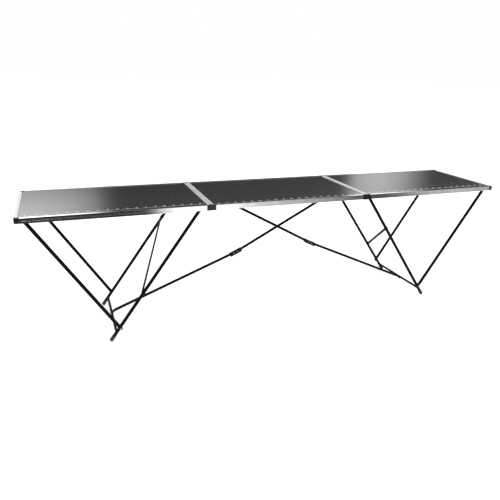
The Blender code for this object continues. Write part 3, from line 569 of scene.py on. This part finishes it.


# Hinge blocks keep their drilled solids, and all but the right panel's get raised ribs; link plates are new

block = dict(ribRise=0.0007, ribHeight=0.0022, ribShares=(0.32, 0.56, 0.8), ribSpanShare=0.9, ribFoot=0.001,
             ribRoundShare=0.12, margin=0.003, screwRadius=0.0034, screwRise=0.0013)
plate = dict(cornerRadius=0.0042, thickness=0.0022, gap=0.0003, edge=0.0003, rimWidth=0.0020, rimDrop=0.0005,
             rimInset=0.0006, sink=0.0005, sinkInset=0.0004, pinRadius=0.0019, pinTip=0.0016,
             pinChamfer=0.0004, pinInto=0.001, headRadius=0.0042, headProud=0.0003)
blockBodies = {"left_hinge_block": "left_panel", "middle_left_hinge_block": "middle_panel",
               "middle_right_hinge_block": "middle_panel", "right_hinge_block": "right_panel"}


def dressBlock(prefix, side):
    node = f"{prefix}_{side}"
    low, high = boxOf(node)
    signY = sides[side]
    recolor(node, hingePlastic)
    middleX = (low.x + high.x) / 2
    face = min(abs(low.y), abs(high.y)) + rail["flange"]
    parts = []
    if "right" not in prefix:
        for share in block["ribShares"]:
            rib = bmesh.new()
            bmesh.ops.create_cube(rib, size=1)
            roundOff(rib, rib.edges[:], block["ribRoundShare"])
            width = high.x - low.x - 2 * block["margin"]
            size = Matrix.Diagonal((width, block["ribRise"] * 2, block["ribHeight"], 1))
            height = low.z + rail["depth"] * share * block["ribSpanShare"] + block["ribFoot"]
            parts.append(placed(rib, Matrix.Translation((middleX, signY * face, height)) @ size))
    screwAt = (middleX, signY * (face - rail["flange"] / 2), low.z)
    parts.append(rivetHead(screwAt, (0, 0, -1), block["screwRadius"], block["screwRise"]))
    first, *rest = prefix.split("_")
    title = first + "".join(word.capitalize() for word in rest) + side.capitalize() + "Ribs"
    finishPiece(title, together(parts), hingePlastic, blockBodies[prefix])


def makeLinkPlate(side):
    node = f"right_link_plate_{side}"
    low, high = boxOf(node)
    signY = sides[side]
    inner, outer = sorted((abs(low.y), abs(high.y)))
    near = max(abs(corner.y) for corner in boxOf(f"right_hinge_block_{side}")) + plate["gap"]
    width, height = high.x - low.x, high.z - low.z
    radius = plate["cornerRadius"]
    outline = []
    for cornerX, cornerZ, begin in ((1, 1, 0), (-1, 1, 1), (-1, -1, 2), (1, -1, 3)):
        for i in range(6):
            turn = math.pi / 2 * (begin + i / 5)
            outline.append((cornerX * (width / 2 - radius) + radius * math.cos(turn),
                            cornerZ * (height / 2 - radius) + radius * math.sin(turn)))
    thick, rim, edge = plate["thickness"], plate["rimWidth"], plate["edge"]
    body = stepped(outline, [(0, edge), (edge, 0), (thick - plate["rimDrop"], 0), (thick, plate["rimInset"]),
                             (thick, rim), (thick - plate["sink"], rim + plate["sinkInset"])])
    centre = ((low.x + high.x) / 2, signY * near, (low.z + high.z) / 2)
    parts = [placed(body, faceOn(centre, (-signY, 0, 0), (0, 0, 1)))]
    pin, head, reach = plate["pinRadius"], plate["headRadius"], near - inner
    seat, brim = reach + plate["pinInto"], reach + thick + plate["headProud"]
    profile = [(0, 0), (plate["pinTip"], 0), (pin, plate["pinChamfer"]), (pin, seat), (head, seat),
               (head, brim)]
    profile += dome(head, outer - near - thick - plate["headProud"], brim)[1:]
    for joint in ("right_link_swing", "right_panel_fold"):
        start = Vector((jointAt[joint].x, signY * inner, jointAt[joint].z))
        parts.append(placed(lathe(profile, 20), lineUp(start, start + Vector((0, signY, 0)), (1, 0, 0))))
    finishPiece(f"rightLinkPlate{side.capitalize()}", together(parts), plastic, "right_link",
                [node])


for side in sides:
    for prefix in blockBodies:
        dressBlock(prefix, side)
    makeLinkPlate(side)
print("caps, hinge blocks and link plates made")


# Leg frames

leg = dict(radius=0.0096, wall=0.0012, y=0.243, footX=1.08, footHeight=0.0095, topOverhang=0.008, edge=0.0003,
           plugDepth=0.002, plugHollow=0.0012, barGrowth=0.0015, boreRadius=0.0043, drillReach=0.004,
           jointHeight=0.085)
foot = dict(radius=0.0109, tip=0.0084, gap=0.0003, sleeve=0.030, edge=0.0003, bead=0.0004, beadTop=0.0006,
            beadAt=0.0275, beadLow=0.0010, beadEnd=0.0018, grooveShares=(0.30, 0.52, 0.74),
            grooveDepth=0.0005, grooveHalf=0.0012, grooveFlat=0.0006)
weld = dict(radius=0.0086, thickness=0.0016, proud=0.0004, dip=0.0003, rootShare=0.9, toeShare=0.98,
            lengthShare=1.6)
stay = dict(width=0.018, thickness=0.005, outerFace=0.0112, edge=0.0006, rivetRadius=0.0048,
            shares={"left": (0.64, 0.25), "right": (0.31, 0.70)}, headRise=0.0002, tailRise=0.0016,
            tailShare=0.9)
axle = dict(radius=0.004, chamfer=0.0004, collarRadius=0.0066, collarLength=0.005, collarGap=0.0006,
            outerShare=0.6)


def legPoint(end, signY, share):
    pivot = jointAt[f"{end}_legs_fold"]
    footAt = Vector((ends[end] * leg["footX"], 0, leg["footHeight"]))
    point = pivot.lerp(footAt, share)
    return Vector((point.x, signY * leg["y"], point.z))


def makeLeg(end, side):
    signY = sides[side]
    pivot, footAt = legPoint(end, signY, 0), legPoint(end, signY, 1)
    radius, inner, edge = leg["radius"], leg["radius"] - leg["wall"], leg["edge"]
    low, high = -leg["topOverhang"], (footAt - pivot).length
    profile = [(inner, low), (radius - edge, low), (radius, low + edge), (radius, high), (inner, high)]
    shell = placed(lathe(profile, 28, closed=True), lineUp(pivot, footAt))
    reach = Vector((0, radius + leg["drillReach"], 0))
    parts = [bored(shell, [(pivot - reach, pivot + reach, leg["boreRadius"])])]
    sunk = low + leg["plugDepth"]
    plug = lathe([(0, sunk), (inner, sunk), (inner, low)] + dome(inner, -leg["plugHollow"], low)[1:], 20)
    parts.append(placed(plug, lineUp(pivot, footAt)))
    finishPiece(f"{end}Leg{side.capitalize()}", together(parts), blackSteel, f"{end}_legs",
                [f"{end}_leg_{side}"])


def makeFoot(end, side):
    signY = sides[side]
    inner, outer = leg["radius"] + foot["gap"], foot["radius"]
    sleeve, beadAt, proud = foot["sleeve"], foot["beadAt"], foot["radius"] + foot["bead"]
    profile = [(0, -foot["gap"]), (inner, -foot["gap"]), (inner, sleeve), (outer - foot["edge"], sleeve),
               (proud, sleeve - foot["beadTop"]), (proud, beadAt - foot["beadLow"]),
               (outer, beadAt - foot["beadEnd"])]
    groove, half, flat = outer - foot["grooveDepth"], foot["grooveHalf"], foot["grooveFlat"]
    for share in reversed(foot["grooveShares"]):
        at = sleeve * share
        profile += [(outer, at + half), (groove, at + flat), (groove, at - flat), (outer, at - half)]
    tread = [math.pi / 2 * i / 8 for i in range(9)]
    profile += [(outer * math.cos(a) if a < math.pi / 2 else 0, -foot["tip"] * math.sin(a)) for a in tread]
    part = placed(lathe(profile, 28), lineUp(legPoint(end, signY, 1), legPoint(end, signY, 0)))
    finishPiece(f"{end}Foot{side.capitalize()}", part, rubber, f"{end}_legs",
                [f"{end}_foot_{side}"])


def barRadius(end):
    low, high = boxOf(f"{end}_leg_crossbar")
    return (high.z - low.z) / 2 + leg["barGrowth"]


def makeCrossbar(end):
    node = f"{end}_leg_crossbar"
    low, high = boxOf(node)
    centre = (low + high) / 2
    radius, outer, thick = barRadius(end), weld["radius"], weld["thickness"]
    start, stop = Vector((centre.x, low.y, centre.z)), Vector((centre.x, high.y, centre.z))
    parts = [rod(start, stop, radius, 24)]
    for at, inward in ((start, 1), (stop, -1)):
        bead = [(radius * weld["rootShare"], 0.0), (outer, -weld["proud"]),
                (outer + weld["proud"], thick * 0.5), (outer - weld["dip"], thick),
                (radius * weld["toeShare"], thick * weld["lengthShare"])]
        ring = lathe(bead, 24)
        bmesh.ops.holes_fill(ring, edges=[e for e in ring.edges if e.is_boundary], sides=0)
        bmesh.ops.recalc_face_normals(ring, faces=ring.faces)
        parts.append(placed(ring, lineUp(at, at + Vector((0, inward, 0)), (1, 0, 0))))
    finishPiece(f"{end}LegCrossbar", together(parts), blackSteel, f"{end}_legs", [node])


def makeStay(end):
    frontShare, backShare = stay["shares"][end]
    front, back = legPoint(end, -1, frontShare), legPoint(end, 1, backShare)
    down = (legPoint(end, -1, 1) - legPoint(end, -1, 0)).normalized()
    outward = down.cross(Vector((0, 1, 0))).normalized()
    if outward.x * ends[end] < 0:
        outward = -outward
    run, along = (back - front).length, (back - front).normalized()
    half = stay["width"] / 2
    turns = [math.pi * i / 8 for i in range(9)]
    outline = [(run + half * math.sin(a), half * math.cos(a)) for a in turns]
    outline += [(-half * math.sin(a), -half * math.cos(a)) for a in turns]
    strap = prism(outline, stay["thickness"])
    roundOff(strap, [e for e in strap.edges if not isLengthwise(e)], stay["edge"])
    seat = outward * (stay["outerFace"] - stay["thickness"] / 2)
    parts = [placed(strap, faceOn(front + seat, along, outward.cross(along)))]
    head, tail = stay["rivetRadius"], stay["rivetRadius"] * stay["tailShare"]
    for at in (front, back):
        parts.append(rivetHead(at + outward * stay["outerFace"], outward, head, stay["headRise"]))
        parts.append(rivetHead(at - outward * leg["radius"], -outward, tail, stay["tailRise"]))
    finishPiece(f"{end}LegStay", together(parts), greySteel, f"{end}_legs", [f"{end}_leg_stay"])


def makeAxle(end):
    node = f"{end}_leg_axle"
    low, high = boxOf(node)
    centre = (low + high) / 2
    start = Vector((centre.x, low.y, centre.z))
    length = high.y - low.y
    radius, collar, chamfer = axle["radius"], axle["collarRadius"], axle["chamfer"]
    inside = length / 2 - (leg["y"] - leg["radius"] - axle["collarGap"])
    outside = length / 2 - (leg["y"] + leg["radius"] + axle["collarGap"])
    long, short = axle["collarLength"], axle["collarLength"] * axle["outerShare"]
    profile = [(0, 0), (radius - chamfer, 0), (radius, chamfer)]
    for begin, run in ((outside - short, short), (inside, long), (length - inside - long, long),
                       (length - outside, short)):
        stop = begin + run
        profile += [(radius, begin), (collar - chamfer, begin), (collar, begin + chamfer),
                    (collar, stop - chamfer), (collar - chamfer, stop), (radius, stop)]
    profile += [(radius, length - chamfer), (radius - chamfer, length), (0, length)]
    part = placed(lathe(profile, 20), lineUp(start, start + Vector((0, 1, 0)), (1, 0, 0)))
    finishPiece(f"{end}LegAxle", part, greySteel, f"{end}_panel", [node])


for end in ends:
    for side in sides:
        makeLeg(end, side)
        makeFoot(end, side)
    makeCrossbar(end)
    makeStay(end)
    makeAxle(end)
print("leg frames made")


# Struts: a round tube, pressed flat where it turns on the rail's stud

strut = dict(radius=stud["strutRadius"], y=stud["strutY"], overrun=0.012, flatHalf=0.0036, flatDepth=0.0102,
             flatLength=0.024, taper=0.020, tip=0.0075, tipShare=0.8, tipHalf=0.0012, boreRadius=0.0043,
             drillReach=0.004, legGap=0.0003, rivetRadius=0.0025, headRadius=0.0042, headRise=0.0014,
             headLift=0.0015)
washer = dict(radius=0.0056, topRadius=0.0050, edgeHeight=0.0014, thickness=0.0016, sunk=0.0012)


def strutStations(length):
    # the rounded lower end, the taper to the flat, and the flat's rounded tip
    radius, flatHalf, flatDepth = strut["radius"], strut["flatHalf"], strut["flatDepth"]
    low = radius - strut["overrun"]
    turns = [math.pi / 2 * i / 6 for i in range(1, 7)]
    stations = [(low - radius * math.cos(a), radius * math.sin(a), radius * math.sin(a)) for a in turns]
    flatFrom = length - strut["flatLength"] / 2
    for i in range(7):
        bend = i / 6
        ease = bend * bend * (3 - 2 * bend)
        stations.append((flatFrom - strut["taper"] * (1 - bend), radius + (flatHalf - radius) * ease,
                         radius + (flatDepth - radius) * ease))
    shoulder = length + strut["tip"] - flatDepth
    for turn in turns:
        height = shoulder + flatDepth * math.sin(turn)
        wide = flatHalf * (strut["tipShare"] if turn == turns[-1] else 1)
        if height > stations[-1][0]:
            stations.append((height, wide, max(flatDepth * math.cos(turn), strut["tipHalf"])))
    return stations


def makeStrut(end, side):
    signY = sides[side]
    outward = Vector((0, signY, 0))
    pivot = jointAt[f"{end}_struts_fold"].copy()
    share = (pivot.z - leg["jointHeight"]) / (pivot.z - leg["footHeight"])
    joint = legPoint(end, signY, share)
    pivot.y = joint.y = signY * strut["y"]
    skin = placed(sweep(strutStations((pivot - joint).length), 28), lineUp(joint, pivot))
    reach = Vector((0, strut["radius"] + strut["drillReach"], 0))
    parts = [bored(skin, [(pivot - reach, pivot + reach, strut["boreRadius"])])]
    shank = Vector((joint.x, signY * (leg["y"] + leg["radius"] + strut["legGap"]), joint.z))
    outer = Vector((joint.x, signY * (strut["y"] + strut["radius"]), joint.z))
    parts.append(rod(shank, outer, strut["rivetRadius"]))
    finishPiece(f"{end}Strut{side.capitalize()}", together(parts), blackSteel, f"{end}_struts",
                [f"{end}_strut_{side}"])
    seat = outer - outward * washer["sunk"]
    ring = lathe([(0, 0), (washer["radius"], 0), (washer["radius"], washer["edgeHeight"]),
                  (washer["topRadius"], washer["thickness"]), (0, washer["thickness"])], 20)
    placed(ring, lineUp(seat, seat + outward, (1, 0, 0)))
    head = rivetHead(seat + outward * strut["headLift"], outward, strut["headRadius"], strut["headRise"])
    finishPiece(f"{end}StrutRivet{side.capitalize()}", together([ring, head]), brightZinc, f"{end}_struts")


for end in ends:
    for side in sides:
        makeStrut(end, side)
print("struts made")


# Knuckle braces

brace = dict(radius=0.0085, wall=0.001, edge=0.0002, overhang=0.0052, boreRadius=0.0028, drillReach=0.003,
             hookReach=0.028)
clip = dict(length=0.086, inner=0.0089, wall=0.0016, roof=0.0092, height=0.024, tipRound=0.0065,
            rivetRadius=0.0034, rivetRise=0.0014, rivetSunk=0.0004, shankRadius=0.0025)
hook = dict(thickness=0.006, edge=0.0007, clearance=0.0008, top=0.0055, floor=0.005, lipDrop=0.0035,
            lip=0.0045, flare=0.012, collar=0.005, collarFace=0.0003, collarLow=0.0007, collarEdge=0.0008,
            spigot=0.018, spigotOverrun=0.001, spigotGap=0.0003)
bracket = dict(width=0.024, wall=0.0025, gap=0.0006, tipRound=0.008, ridgeRound=0.0012, boltRadius=0.0025,
               nutRadius=0.0046, nutDepth=0.0032, nutLift=0.0012, nutEdge=0.0003)
braceEnds = {"back": "left", "front": "right"}


def tubeWithBores(start, stop, bores):
    length = (stop - start).length
    radius, inner, edge = brace["radius"], brace["radius"] - brace["wall"], brace["edge"]
    shell = lathe([(inner, 0), (radius - edge, 0), (radius, edge), (radius, length - edge),
                   (radius - edge, length), (inner, length)], 24, closed=True)
    placed(shell, lineUp(start, stop))
    reach = Vector((0, radius + brace["drillReach"], 0))
    return bored(shell, [(at - reach, at + reach, brace["boreRadius"]) for at in bores])


def openChannel(inner, wall, low, roof, length, tips, ridges):
    # a channel open below, its tips and ridges rounded by (radius, steps)
    outer, top = inner + wall, roof + wall
    outline = [(-outer, low), (-inner, low), (-inner, roof), (inner, roof),
               (inner, low), (outer, low), (outer, top), (-outer, top)]
    part = prism(outline, length)
    near = wall / 16

    def level(edge, height):
        return all(abs(vert.co.y - height) < near for vert in edge.verts)

    def outermost(edge):
        return all(abs(abs(vert.co.x) - outer) < near for vert in edge.verts)

    roundOff(part, [e for e in part.edges if level(e, low) and not isLengthwise(e)], *tips)
    roundOff(part, [e for e in part.edges if level(e, top) and outermost(e)], *ridges)
    return part


def upOf(along):
    up = Vector((-along.z, 0, along.x))
    return up if up.z > 0 else -up


def makeBrace(name):
    pivot = jointAt[f"{name}_brace_lift"]
    upperRivet, lowerRivet = jointAt[f"{name}_brace_upper_rivet"], jointAt[f"{name}_brace_lower_rivet"]
    bar = middleOf(f"{braceEnds[name]}_leg_crossbar")
    bar.y = pivot.y
    past = (upperRivet - pivot).normalized() * brace["overhang"]
    upper = tubeWithBores(pivot - past, upperRivet + past, [pivot, upperRivet])
    finishPiece(f"{name}BraceUpper", upper, blackSteel, f"{name}_brace_upper",
                [f"{name}_brace_upper"])
    down = (bar - lowerRivet).normalized()
    stop = bar - down * brace["hookReach"]
    lower = tubeWithBores(lowerRivet - down * brace["overhang"], stop, [lowerRivet])
    finishPiece(f"{name}BraceLower", lower, blackSteel, f"{name}_brace_lower",
                [f"{name}_brace_lower"])
    makeClip(name, upperRivet, lowerRivet)
    makeHook(name, bar, down, stop)
    makeBracket(name, pivot)


def makeClip(name, upperRivet, lowerRivet):
    inner, wall, roof = clip["inner"], clip["wall"], clip["roof"]
    body = openChannel(inner, wall, roof + wall - clip["height"], roof, clip["length"],
                       (clip["tipRound"], 5), (wall, 4))
    up = upOf((lowerRivet - upperRivet).normalized())
    placed(body, faceOn((upperRivet + lowerRivet) / 2, (0, 1, 0), up))
    finishPiece(f"{name}BraceKnuckle", body, plastic, f"{name}_brace_knuckle",
                [f"{name}_brace_knuckle"])
    rivets = []
    side = Vector((0, inner + wall, 0))
    for at in (upperRivet, lowerRivet):
        rivets.append(rod(at - side, at + side, clip["shankRadius"]))
        for sign in (-1, 1):
            rivets.append(rivetHead(at + side * sign, (0, sign, 0), clip["rivetRadius"], clip["rivetRise"],
                                    clip["rivetSunk"]))
    finishPiece(f"{name}BraceRivets", together(rivets), brightZinc, f"{name}_brace_knuckle")


def makeHook(name, bar, along, stop):
    radius = barRadius(braceEnds[name]) + hook["clearance"]
    lipAngle = -math.asin(hook["lipDrop"] / radius)
    turns = [-math.pi + (math.pi + lipAngle) * i / 18 for i in range(19)]
    floor = -(radius + hook["floor"])
    neck = brace["wall"] - brace["radius"]
    root = hook["collar"] / 2 - brace["hookReach"]
    outline = [(root, neck), (root, hook["top"]), (-radius, hook["top"])]
    outline += [(radius * math.cos(a), radius * math.sin(a)) for a in turns]
    outline += [(radius + hook["lip"], -hook["lipDrop"]), (radius + hook["lip"], -radius),
                (radius / 2, floor), (-radius, floor), (-radius - hook["flare"], neck)]
    cradle = prism(outline, hook["thickness"])
    roundOff(cradle, [e for e in cradle.edges if not isLengthwise(e)], hook["edge"])
    parts = [placed(cradle, faceOn(bar, along, upOf(along)))]
    width, length, face, edge = brace["radius"], hook["collar"], hook["collarFace"], hook["collarEdge"]
    collar = [(0, face), (width - face, face), (width, hook["collarLow"]), (width, length - edge),
              (width - edge, length), (0, length)]
    parts.append(placed(lathe(collar, 24), lineUp(stop, stop + along)))
    parts.append(rod(stop - along * hook["spigot"], stop + along * hook["spigotOverrun"],
                     width - brace["wall"] - hook["spigotGap"], 20, (0, 1, 0)))
    finishPiece(f"{name}BraceHook", together(parts), plastic, f"{name}_brace_lower",
                [f"{name}_brace_hook"])


def makeBracket(name, pivot):
    node = f"{name}_brace_bracket"
    low, high = boxOf(node)
    inner, wall = brace["radius"] + bracket["gap"], bracket["wall"]
    body = openChannel(inner, wall, low.z - pivot.z, high.z - pivot.z - wall, bracket["width"],
                       (bracket["tipRound"], 6), (bracket["ridgeRound"], 3))
    parts = [placed(body, faceOn(pivot, (0, 1, 0), (0, 0, 1)))]
    side = Vector((0, inner + wall, 0))
    parts.append(rod(pivot - side, pivot + side, bracket["boltRadius"]))
    for sign in (-1, 1):
        seat = pivot + side * sign
        nut = bmesh.new()
        bmesh.ops.create_cone(nut, cap_ends=True, segments=6, radius1=bracket["nutRadius"],
                              radius2=bracket["nutRadius"], depth=bracket["nutDepth"])
        roundOff(nut, [e for e in nut.edges if not isLengthwise(e)], bracket["nutEdge"], 1)
        bmesh.ops.translate(nut, vec=(0, 0, bracket["nutLift"]), verts=nut.verts)
        parts.append(placed(nut, lineUp(seat, seat + Vector((0, sign, 0)), (1, 0, 0))))
    finishPiece(f"{name}BraceBracket", together(parts), greySteel, "middle_panel", [node])


for name in braceEnds:
    makeBrace(name)
print("braces made")


# Floor, light and camera

camera = dict(x=-1.2603, y=-2.8733, z=1.5076, yaw=0.368, pitch=0.3517, roll=0.0302, lens=36.15, sensor=36.0,
              farEnd=100)


def makeCamera():
    yaw, pitch, roll = camera["yaw"], camera["pitch"], camera["roll"]
    fwd = Vector((math.sin(yaw) * math.cos(pitch), math.cos(yaw) * math.cos(pitch), -math.sin(pitch)))
    right = Vector((math.cos(yaw), -math.sin(yaw), 0))
    up = right.cross(fwd)
    across = right * math.cos(roll) + up * math.sin(roll)
    over = -right * math.sin(roll) + up * math.cos(roll)
    data = bpy.data.cameras.new("camera")
    data.lens = camera["lens"]
    data.sensor_width = camera["sensor"]
    data.clip_end = camera["farEnd"]
    eye = bpy.data.objects.new("camera", data)
    bpy.context.scene.collection.objects.link(eye)
    turn = Matrix((across, over, -fwd)).transposed().to_4x4()
    eye.matrix_world = Matrix.Translation((camera["x"], camera["y"], camera["z"])) @ turn
    bpy.context.scene.camera = eye


studio = dict(world=1.0, size=60.0, tone=0.92, glow=0.45)
glows = {
    "overhead": dict(at=(0.5, -1.0, 5.0), toward=(0.2, 0, 0), width=6.0, height=4.0, power=60),
    "frontKey": dict(at=(-2.6, -5.0, 3.4), toward=(0, 0, 0.6), width=2.5, height=2.0, power=40),
}
# cards that only reflections see: behind the table for the boards, on the floor before it for the rails;
# their light fades across and up, as (metres, level)
cards = {
    "leftCard": dict(
        y=6.0, corners=((-5.0, 1.0), (1.5, 1.0), (1.5, 3.2), (-5.0, 3.2)), tone=0.03, glow=2.6,
        across=[(-5.0, 1.0), (-1.8, 0.95), (-1.2, 0.74), (-0.75, 0.42), (-0.60, 0.14), (-0.40, 0.02),
                (1.5, 0.02)],
        up=[(1.0, 0.0), (2.0, 0.12), (2.2, 0.5), (2.35, 0.85), (2.5, 1.25), (3.2, 1.4)]),
    "rightCard": dict(
        y=6.0, corners=((1.5, 1.0), (18.0, 1.0), (18.0, 3.2), (1.5, 3.2)), tone=0.03, glow=2.4,
        across=[(1.5, 0.02), (4.2, 0.02), (4.5, 0.70), (5.1, 0.80), (5.6, 0.55), (6.1, 0.18), (6.4, 0.0),
                (18.0, 0.0)],
        up=[(1.0, 0.3), (2.1, 0.7), (2.4, 0.85), (3.2, 1.0)]),
    "railCard": dict(
        z=0.02, corners=((-2.6, -8.0), (4.6, -8.0), (4.6, -1.2), (-2.6, -1.2)), tone=0.02, glow=1.5,
        across=[(-2.6, 0.0), (-0.42, 0.0), (-0.15, 1.0), (0.5, 1.0), (0.75, 0.62), (1.3, 0.38), (1.75, 0.24),
                (2.05, 0.12), (2.25, 0.0), (2.45, 0.0), (2.65, 0.05), (2.9, 0.20), (3.2, 0.38),
                (3.8, 0.42), (4.1, 0.30), (4.6, 0.30)],
        up=[]),
}


def lookAlong(at, toward):
    turn = (Vector(toward) - Vector(at)).to_track_quat("-Z", "Y")
    return Matrix.Translation(at) @ turn.to_matrix().to_4x4()


def makeLights():
    world = bpy.data.worlds.new("studio")
    world.use_nodes = True
    bpy.context.scene.world = world
    background = world.node_tree.nodes["Background"]
    background.inputs["Color"].default_value = (1, 1, 1, 1)
    background.inputs["Strength"].default_value = studio["world"]
    for name, glow in glows.items():
        data = bpy.data.lights.new(name, "AREA")
        data.shape = "RECTANGLE"
        data.size, data.size_y = glow["width"], glow["height"]
        data.energy = glow["power"]
        lamp = bpy.data.objects.new(name, data)
        bpy.context.scene.collection.objects.link(lamp)
        lamp.matrix_world = lookAlong(glow["at"], glow["toward"])
        lamp.visible_camera = False


def makePale(name, tone, glow, across=(), up=()):
    material, tree, shader = newMaterial(name, (tone,) * 3, {"Roughness": 0.9, "Specular IOR Level": 0.1})
    faint = pattern(tree, "ShaderNodeTexNoise", (1, 1, 1), 0.8, 2)
    high = tone * 1.02
    pale = tones(tree, faint, [(0.3, (tone, tone, tone)), (0.7, (high, high, high))])
    tree.links.new(pale, shader.inputs["Base Color"])
    light = cardLight(tree, across, up) if across else pale
    tree.links.new(light, shader.inputs["Emission Color"])
    shader.inputs["Emission Strength"].default_value = glow
    return material


def cardLight(tree, across, up):
    coordinates = tree.nodes.new("ShaderNodeTexCoord")
    split = tree.nodes.new("ShaderNodeSeparateXYZ")
    tree.links.new(coordinates.outputs["Object"], split.inputs["Vector"])
    fades = [fade(tree, split.outputs[axis], stops) for axis, stops in (("X", across), ("Z", up)) if stops]
    return blended(tree, *fades, 1.0, "MULTIPLY") if up else fades[0]


def fade(tree, source, stops):
    low, high = stops[0][0], stops[-1][0]
    reach = tree.nodes.new("ShaderNodeMapRange")
    reach.inputs["From Min"].default_value = low
    reach.inputs["From Max"].default_value = high
    tree.links.new(source, reach.inputs["Value"])
    shares = [((at - low) / (high - low), (level,) * 3) for at, level in stops]
    return tones(tree, reach.outputs["Result"], shares)


def makeStage():
    floor = bmesh.new()
    bmesh.ops.create_grid(floor, x_segments=1, y_segments=1, size=studio["size"])
    stageObject("paleFloor", floor, makePale("paleFloor", studio["tone"], studio["glow"]))
    for name, card in cards.items():
        part = bmesh.new()
        if "y" in card:
            corners = [(x, card["y"], z) for x, z in card["corners"]]
        else:
            corners = [(x, y, card["z"]) for x, y in card["corners"]]
        part.faces.new([part.verts.new(corner) for corner in corners])
        material = makePale(name, card["tone"], card["glow"], card["across"], card["up"])
        screen = stageObject(name, part, material)
        screen.visible_camera = False
        screen.visible_diffuse = False
        screen.visible_shadow = False


def stageObject(name, part, material):
    thing = asObject(name, part)
    thing.data.materials.append(material)
    return thing


bpy.context.scene.view_settings.view_transform = "Standard"
makeCamera()
makeLights()
makeStage()
print("stage made")
